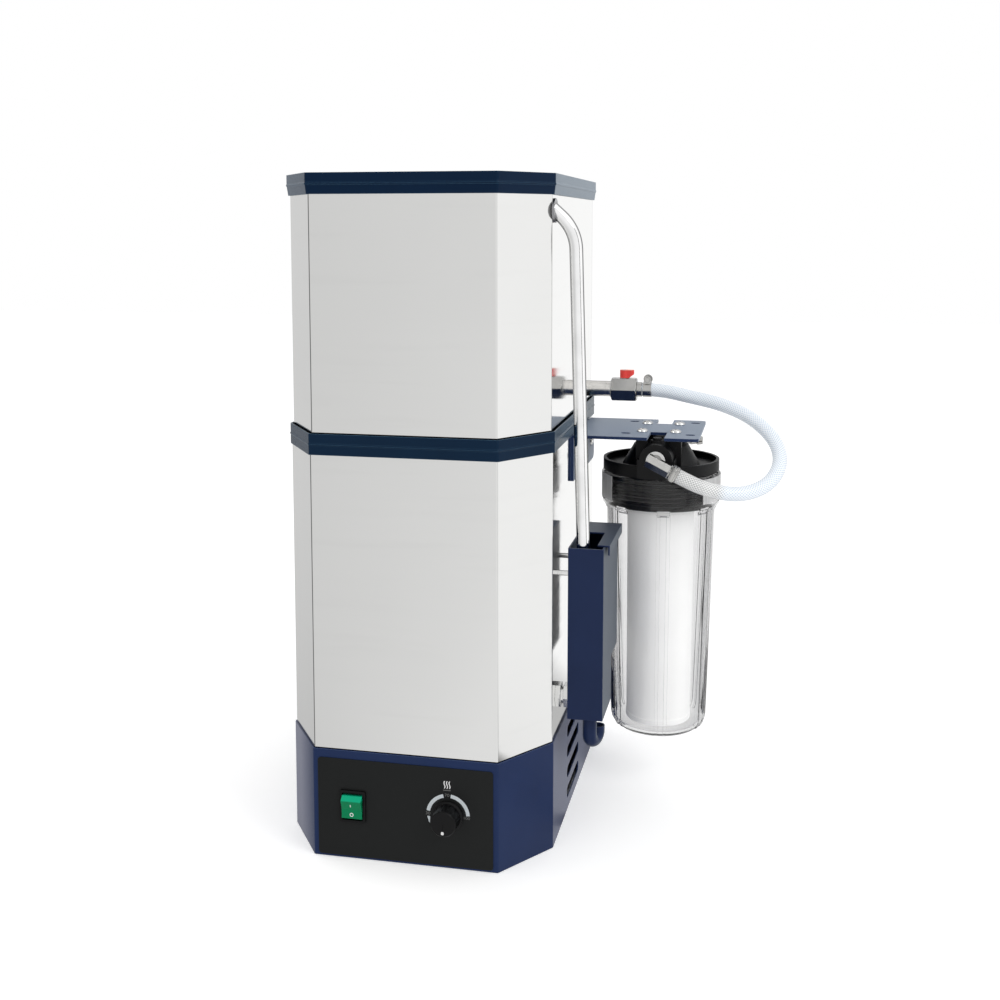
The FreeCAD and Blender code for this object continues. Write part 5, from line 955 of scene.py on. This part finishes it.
def make_grip(name, side_bearing):
    bpy.ops.mesh.primitive_circle_add(
        vertices=384, radius=GRIP_RADIUS * MM,
        location=(FILTER_MIDDLE[0] * MM, FILTER_MIDDLE[1] * MM, GRIP_BOTTOM * MM))
    grip = settle(take(bpy.context.object, name))
    start_editing(grip, "EDGE")
    bpy.ops.mesh.select_all(action="SELECT")
    extrude_by((0, 0, (GRIP_TOP - GRIP_BOTTOM) * MM))
    bpy.ops.mesh.select_mode(type="FACE")
    pick_faces(grip, lambda middle, normal: not near_step(
        bearing(middle) + BOWL_TURN, 1, side_bearing, GRIP_HALF))
    bpy.ops.mesh.delete(type="FACE")
    pick_faces(grip, lambda middle, normal: True)
    bpy.ops.mesh.normals_make_consistent(inside=False)
    stop_editing()
    add_modifier(grip, "SOLIDIFY", thickness=GRIP_THICKNESS * MM, offset=1.0)
    smooth(grip, 30)
    return finish_piece(grip, "bowl", grip_frost, "clear_plastic")


grips = [make_grip("right_grip", 90.0), make_grip("left_grip", -90.0)]
print("grips", [grip.name for grip in grips])

# %% [markdown]
# ## Screws of the filter bracket
# Four domed screws with a cross recess hold the filter's head to the bracket. One is turned on
# the lathe, its recess is cut with a small cross, and the other three are copies.

# %% Turn one screw, cut its cross and copy it
SCREW_SEAT = 384.0
SCREW_PLACES = [(-17, -27), (17, -27), (-17, 27), (17, 27)]
SCREW_TURNS = (0.5, 1.4, 2.3, 3.2)
DOME_HEIGHT = 3.2
RECESS_DEPTH = 2.6
screw_profile = [(2.2, -14.0), (3.0, -13.0), (3.0, 0.0), (5.6, 0.0), (5.7, 0.5), (5.35, 1.5),
                 (4.5, 2.35), (3.2, 2.95), (1.6, DOME_HEIGHT)]
screw = turn_on_lathe("bracket_top_screw", screw_profile, (0, 0), 48)


def add_recess_bar(length, width):
    bpy.ops.mesh.primitive_cube_add(size=1, location=(0, 0, DOME_HEIGHT * MM))
    bar = take(bpy.context.object, "recess_bar")
    bar.scale = (length * MM, width * MM, RECESS_DEPTH * MM)
    return settle(bar)


for bar_size in ((5.2, 1.1), (1.1, 5.2)):
    recess = add_recess_bar(*bar_size)
    add_modifier(screw, "BOOLEAN", object=recess, operation="DIFFERENCE", solver="EXACT")
    bpy.data.objects.remove(recess)
smooth(screw, 30)
for index, (offset_x, offset_y) in enumerate(SCREW_PLACES):
    piece = copy_piece(screw, "bracket_top_screw_%d" % (index + 1))
    piece.location = ((FILTER_MIDDLE[0] + offset_x) * MM, (FILTER_MIDDLE[1] + offset_y) * MM,
                      SCREW_SEAT * MM)
    piece.rotation_euler = (0, 0, SCREW_TURNS[index])
    settle(piece)
    finish_piece(piece, "cabinet", bright, "bright_steel", "filter_screws")
bpy.data.objects.remove(screw)
print("screws", len(SCREW_PLACES))

# %% [markdown]
# ## Studs behind the level box
# Two slim studs hold the level box off the casing. They are turned upright and laid along X.

# %% Turn two studs
STUD_LENGTH = 12.9
STUD_START_X = 128.5
STUD_HEIGHT = 262.0
stud_profile = [(2.1, 0), (2.5, 0.4), (2.5, STUD_LENGTH - 0.4), (2.1, STUD_LENGTH)]
for name, stud_y in (("front_box_stud", -100.0), ("rear_box_stud", -34.0)):
    stud = turn_on_lathe(name, stud_profile, (0, 0), 32)
    stud.location = (STUD_START_X * MM, stud_y * MM, STUD_HEIGHT * MM)
    stud.rotation_euler = (0, math.pi / 2, 0)
    smooth(settle(stud), 30)
    finish_piece(stud, "cabinet", polished, "bright_steel", "box_spacers")
print("studs", STUD_LENGTH, "mm long")

# %% [markdown]
# ## Marks on the panel
# A thin ring of print round the knob shows how far it is turned up, with a wedge at its start, a
# steam sign at its top and three plain numbers. The knob has a white dot as its pointer, and the
# rocker has its I and O. Each is a thin flat shape laid on its surface, with a little thickness
# so that it has clean sides.

# %% Ink, and laying a flat shape on the panel
PANEL_FACE_Y = -190.8
INK_THICKNESS = 0.12
KNOB_MIDDLE = (41.9, 51.0)
KNOB_FACE_Y = -209.8


def ink(name, colour):
    material, tree, surface = new_material(name, colour, 0.5, 0.0, 0.2)
    wire(tree, surface, Base_Color=cloudy(tree, colour, 0.85, 900.0, 0.5))
    return material


pale_ink = ink("pale_print", (0.66, 0.71, 0.74))
dim_ink = ink("dim_print", (0.16, 0.16, 0.155))
white_ink = ink("white_print", (0.86, 0.86, 0.86))


def thicken(obj, thickness=INK_THICKNESS):
    """Give a flat shape in the XY plane its thickness, upwards."""
    start_editing(obj)
    bpy.ops.mesh.select_all(action="SELECT")
    extrude_by((0, 0, thickness * MM))
    face_outwards()
    stop_editing()
    return obj


def lay_on_front(obj, x, y, z, lean=0.0):
    """Stand a flat XY shape up, facing the front: lean tips its top outwards, in degrees."""
    obj.location = (x * MM, y * MM, z * MM)
    obj.rotation_euler = (math.pi / 2 + math.radians(lean), 0, 0)
    return settle(obj)


# %% The ring and its wedge
SCALE_INNER = 17.4
SCALE_OUTER = 20.8
SCALE_ARCS = ((4, 82), (103, 170))


def make_annulus(name, inner, outer, sides):
    """A flat ring in the XY plane."""
    bpy.ops.mesh.primitive_circle_add(vertices=sides, radius=inner * MM)
    ring = take(bpy.context.object, name)
    start_editing(ring, "EDGE")
    bpy.ops.mesh.select_all(action="SELECT")
    extrude_by((0, 0, 0))
    change = outer / inner
    bpy.ops.transform.resize(value=(change, change, 1), center_override=(0, 0, 0))
    stop_editing()
    return ring


def off_the_scale(middle, normal):
    angle = math.degrees(math.atan2(middle.y, middle.x))
    return not any(first < angle < last for first, last in SCALE_ARCS)


def make_scale_ring():
    ring = make_annulus("knob_scale_ring", SCALE_INNER, SCALE_OUTER, 360)
    start_editing(ring)
    pick_faces(ring, off_the_scale)
    bpy.ops.mesh.delete(type="FACE")
    stop_editing()
    return thicken(ring)


def make_wedge():
    """A small wedge that widens upwards: the corners of a square are moved one by one."""
    bpy.ops.mesh.primitive_plane_add(size=2 * MM)
    wedge = take(bpy.context.object, "knob_scale_wedge")
    start_editing(wedge, "VERT")
    corners = {(-1, 1): (-19.9, -2.0), (1, 1): (-17.1, -1.9), (1, -1): (-17.3, -8.2),
               (-1, -1): (-18.1, -7.6)}
    for (side_x, side_y), (to_x, to_y) in corners.items():
        pick_points(wedge, lambda place: place.x * side_x > 0 and place.y * side_y > 0
                    and abs(place.x) < 1.5 * MM)
        bpy.ops.transform.translate(value=(to_x * MM - side_x * MM, to_y * MM - side_y * MM, 0))
    stop_editing()
    return thicken(wedge)


for mark in (make_scale_ring(), make_wedge()):
    lay_on_front(mark, KNOB_MIDDLE[0], PANEL_FACE_Y, KNOB_MIDDLE[1])
    finish_piece(mark, "cabinet", pale_ink, "panel_black")
print("ring and wedge on the panel")

# %% The numbers
def make_number(name, text, left, right, bottom, top):
    """A number whose print fills the box given in the panel's X and Z, in mm."""
    bpy.ops.object.text_add()
    number = take(bpy.context.object, name)
    number.data.body = text
    bpy.ops.object.convert(target="MESH")
    number = take(bpy.context.object, name)
    low = Vector([min(corner[axis] for corner in number.bound_box) for axis in range(3)])
    number.scale = ((right - left) * MM / number.dimensions.x,
                    (top - bottom) * MM / number.dimensions.y, 1)
    number.location = (-low.x * number.scale.x, -low.y * number.scale.y, 0)
    settle(number)
    thicken(number)
    lay_on_front(number, left, PANEL_FACE_Y, bottom)
    return finish_piece(number, "cabinet", dim_ink, "panel_black")


numbers = [make_number("number_30", "30", 20.6, 25.0, 50.4, 53.2),
           make_number("number_70", "70", 38.7, 43.3, 69.2, 72.1),
           make_number("number_100", "100", 57.1, 62.8, 48.9, 51.6)]
print("numbers", [number.name for number in numbers])

# %% The steam sign and the pointer's dot
STROKE_WIDTH = 0.95
STROKE_HEIGHT = 7.2
STROKE_WAVE = 0.55
STROKE_LEAN = 0.25


def make_steam_stroke():
    """One upright stroke, pushed into a wave row by row."""
    rows = 16
    bpy.ops.mesh.primitive_grid_add(x_subdivisions=1, y_subdivisions=rows, size=1)
    stroke = take(bpy.context.object, "steam_stroke")
    stroke.scale = (STROKE_WIDTH * MM, STROKE_HEIGHT * MM, 1)
    settle(stroke)
    start_editing(stroke, "VERT")
    for row in range(rows + 1):
        level = (row / rows - 0.5) * STROKE_HEIGHT * MM
        pick_points(stroke, lambda place: abs(place.y - level) < 0.1 * MM)
        wave = STROKE_WAVE * MM * math.sin(2 * math.pi * row / rows)
        push = wave + STROKE_LEAN * MM * (row / rows - 0.5)
        bpy.ops.transform.translate(value=(push, 0, 0))
    stop_editing()
    return thicken(stroke)


def make_plate(name, width, height, corner=0.12, thickness=INK_THICKNESS):
    """A flat rectangle with softened corners."""
    bpy.ops.mesh.primitive_plane_add(size=1)
    sheet = take(bpy.context.object, name)
    sheet.scale = (width * MM, height * MM, 1)
    settle(sheet)
    start_editing(sheet, "VERT")
    bpy.ops.mesh.select_all(action="SELECT")
    bpy.ops.mesh.bevel(offset=corner * min(width, height) * MM, segments=3, affect="VERTICES")
    stop_editing()
    return thicken(sheet, thickness)


stroke = make_steam_stroke()
for index, x in enumerate((38.7, 41.1, 43.5)):
    piece = copy_piece(stroke, "steam_stroke_%d" % (index + 1))
    lay_on_front(piece, x, PANEL_FACE_Y, 80.5)
    finish_piece(piece, "cabinet", white_ink, "panel_black")
bpy.data.objects.remove(stroke)
underline = lay_on_front(make_plate("steam_underline", 7.2, 0.7), 41.0, PANEL_FACE_Y, 75.3)
finish_piece(underline, "cabinet", dim_ink, "panel_black")
pointer_dot = lay_on_front(make_plate("pointer_dot", 2.6, 2.9, 0.3, 0.06), 41.4, KNOB_FACE_Y,
                           42.6)
finish_piece(pointer_dot, "knob", white_ink, "black_plastic")
print("steam sign and pointer dot done")

# %% The rocker's marks
ROCKER_PIVOT = (-50.3, -186.8, 51.3)
ROCKER_TILT = 10.0
ROCKER_REACH = 8.2
ROCKER_BULGE = 1.6
ROCKER_HALF_HEIGHT = 9


def on_rocker(height):
    """The Y and Z of a point on the tilted rocker's face, at a height above its pivot."""
    tilt = math.radians(ROCKER_TILT)
    reach = ROCKER_REACH + ROCKER_BULGE * abs(height) / ROCKER_HALF_HEIGHT
    y = ROCKER_PIVOT[1] - height * math.sin(tilt) - reach * math.cos(tilt)
    z = ROCKER_PIVOT[2] + height * math.cos(tilt) - reach * math.sin(tilt)
    return y, z


upper_y, upper_z = on_rocker(4.0)
lower_y, lower_z = on_rocker(-5.2)
on_mark = lay_on_front(make_plate("rocker_i", 0.75, 2.9), -51.0, upper_y, upper_z, 20.0)
out_mark = lay_on_front(thicken(make_annulus("rocker_o", 1.15, 1.9, 48)), -50.3, lower_y,
                        lower_z)
for mark in (on_mark, out_mark):
    finish_piece(mark, "switch", white_ink, "green_plastic")
print("rocker marks at", round(upper_z, 1), round(lower_z, 1))

# %% [markdown]
# ## Floor, backdrop and light
# The still stands in a white tent. The floor and the sky are white to the eye and to what is
# seen through the clear bowl. What mirrors the tent finds it a little darker to the left and to
# the front, with two dark slits where its walls meet, which draw the fine dark lines on round
# polished metal. A soft shadow stays under the base.

# %% The tent's tone for mirrors
TENT_BRIGHTNESS = 1.07
LEFT_DARKENING = 0.46
FRONT_DARKENING = 0.155
# Each slit: its bearing, its inner and outer half width in degrees, and its depth.
SLITS = ((-27.0, 3.0, 6.0, 0.8), (45.0, 10.0, 18.0, 0.5))


def cosine(degrees):
    return math.cos(math.radians(degrees))


def build_tent_tone():
    """How bright the tent is in a direction: white, greyer to the left and front, two slits."""
    group, start, end = new_group("tent_tone", [("Direction", VECTOR, (0, 0, 0))],
                                  [("Tone", FLOAT)])
    level = join_vectors(group, "MULTIPLY", start["Direction"], (1, 1, 0))
    unit = join_vectors(group, "NORMALIZE", level)
    across, along = axes_of(group, unit)[:2]
    darker = []
    for part, darkening in ((across, LEFT_DARKENING), (along, FRONT_DARKENING)):
        away = calculate(group, "MAXIMUM", calculate(group, "MULTIPLY", part, -1.0), 0.0)
        darker.append(calculate(group, "MULTIPLY", away, darkening))
    tone = calculate(group, "SUBTRACT", TENT_BRIGHTNESS, calculate(group, "ADD", *darker))
    for slit_bearing, inner, outer, depth in SLITS:
        direction = (cosine(slit_bearing), math.sin(math.radians(slit_bearing)), 0)
        toward = join_vectors(group, "DOT_PRODUCT", unit, direction)
        slit = remap(group, toward, (cosine(outer), cosine(inner)), (0, depth))
        tone = calculate(group, "MULTIPLY", tone, calculate(group, "SUBTRACT", 1.0, slit))
    wire(group, end, Tone=tone)
    return group


def tent_toward(tree, place):
    """The tent's tone in the direction of a place."""
    return place_group(tree, TENT_TONE, Direction=place).outputs["Tone"]


def mirror_rays(tree, rays):
    """1 on a ray that came off a mirror, 0 on one that came through clear plastic."""
    return calculate(tree, "SUBTRACT", rays["Is Glossy Ray"], rays["Is Transmission Ray"],
                     clamp=True)


TENT_TONE = build_tent_tone()
print("tent tone ready")

# %% Floor
FLOOR_SIZE = 14.0
FLOOR_LIFT = 0.34

bpy.ops.mesh.primitive_plane_add(size=FLOOR_SIZE, location=(0, 0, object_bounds()[0][2]))
floor = settle(take(bpy.context.object, "floor"))


def white_floor():
    """White to the eye and through clear plastic, and the tent's tone to mirrors."""
    material, tree, surface = new_material("floor_white", (0.90, 0.90, 0.90), 0.9, 0.0, 0.1,
                                           Emission_Color=(1, 1, 1))
    rays = add_node(tree, "LightPath").outputs
    lift = calculate(tree, "MULTIPLY", rays["Is Camera Ray"], FLOOR_LIFT)
    wire(tree, surface, Emission_Strength=lift)
    tone = tent_toward(tree, place_of(tree))
    mirrored = calculate(tree, "MULTIPLY", tone, mirror_rays(tree, rays))
    strength = calculate(tree, "ADD", mirrored, rays["Is Transmission Ray"])
    glow = add_node(tree, "Emission", Strength=strength)
    either = calculate(tree, "MAXIMUM", rays["Is Glossy Ray"], rays["Is Transmission Ray"])
    mix = add_node(tree, "MixShader")
    parts = (either, surface.outputs["BSDF"], glow.outputs["Emission"])
    for socket, part in zip(mix.inputs, parts):
        feed(tree, socket, part)
    wire(tree, tree.nodes["Material Output"], Surface=mix.outputs["Shader"])
    return material


floor.data.materials.append(white_floor())
print("floor", floor.dimensions[:])

# %% Sky
SKY_LIGHT = 0.82

world = bpy.data.worlds.new("white_tent")
bpy.context.scene.world = world
world.use_nodes = True
sky_tree = world.node_tree
sky = sky_tree.nodes["Background"]
sky_rays = add_node(sky_tree, "LightPath").outputs
sky_tone = tent_toward(sky_tree, place_of(sky_tree, "Generated"))
tone_step = calculate(sky_tree, "SUBTRACT", sky_tone, SKY_LIGHT)
glossy_part = calculate(sky_tree, "MULTIPLY", tone_step, mirror_rays(sky_tree, sky_rays))
seen_straight = calculate(sky_tree, "MAXIMUM", sky_rays["Is Camera Ray"],
                          sky_rays["Is Transmission Ray"])
straight_part = calculate(sky_tree, "MULTIPLY", seen_straight, 1.0 - SKY_LIGHT)
both_parts = calculate(sky_tree, "ADD", glossy_part, straight_part)
sky_strength = calculate(sky_tree, "ADD", both_parts, SKY_LIGHT)
wire(sky_tree, sky, Color=(1, 1, 1), Strength=sky_strength)
print("sky", world.name)


# %% Lamps
def panel_lamp(name, place, target, size, watts, colour=(1, 1, 1)):
    data = bpy.data.lights.new(name, "AREA")
    data.shape = "RECTANGLE"
    data.size = size[0]
    data.size_y = size[1]
    data.energy = watts
    data.color = colour
    lamp = bpy.data.objects.new(name, data)
    lamp.location = place
    lamp.rotation_euler = (Vector(target) - Vector(place)).to_track_quat("-Z", "Y").to_euler()
    bpy.context.scene.collection.objects.link(lamp)
    return lamp


panel_lamp("key_lamp", (1.9, -1.2, 2.2), (0.1, 0, 0.35), (1.2, 1.2), 16.0)
panel_lamp("left_lamp", (-1.8, 0.6, 1.4), (0, 0, 0.3), (0.8, 1.4), 5.0)
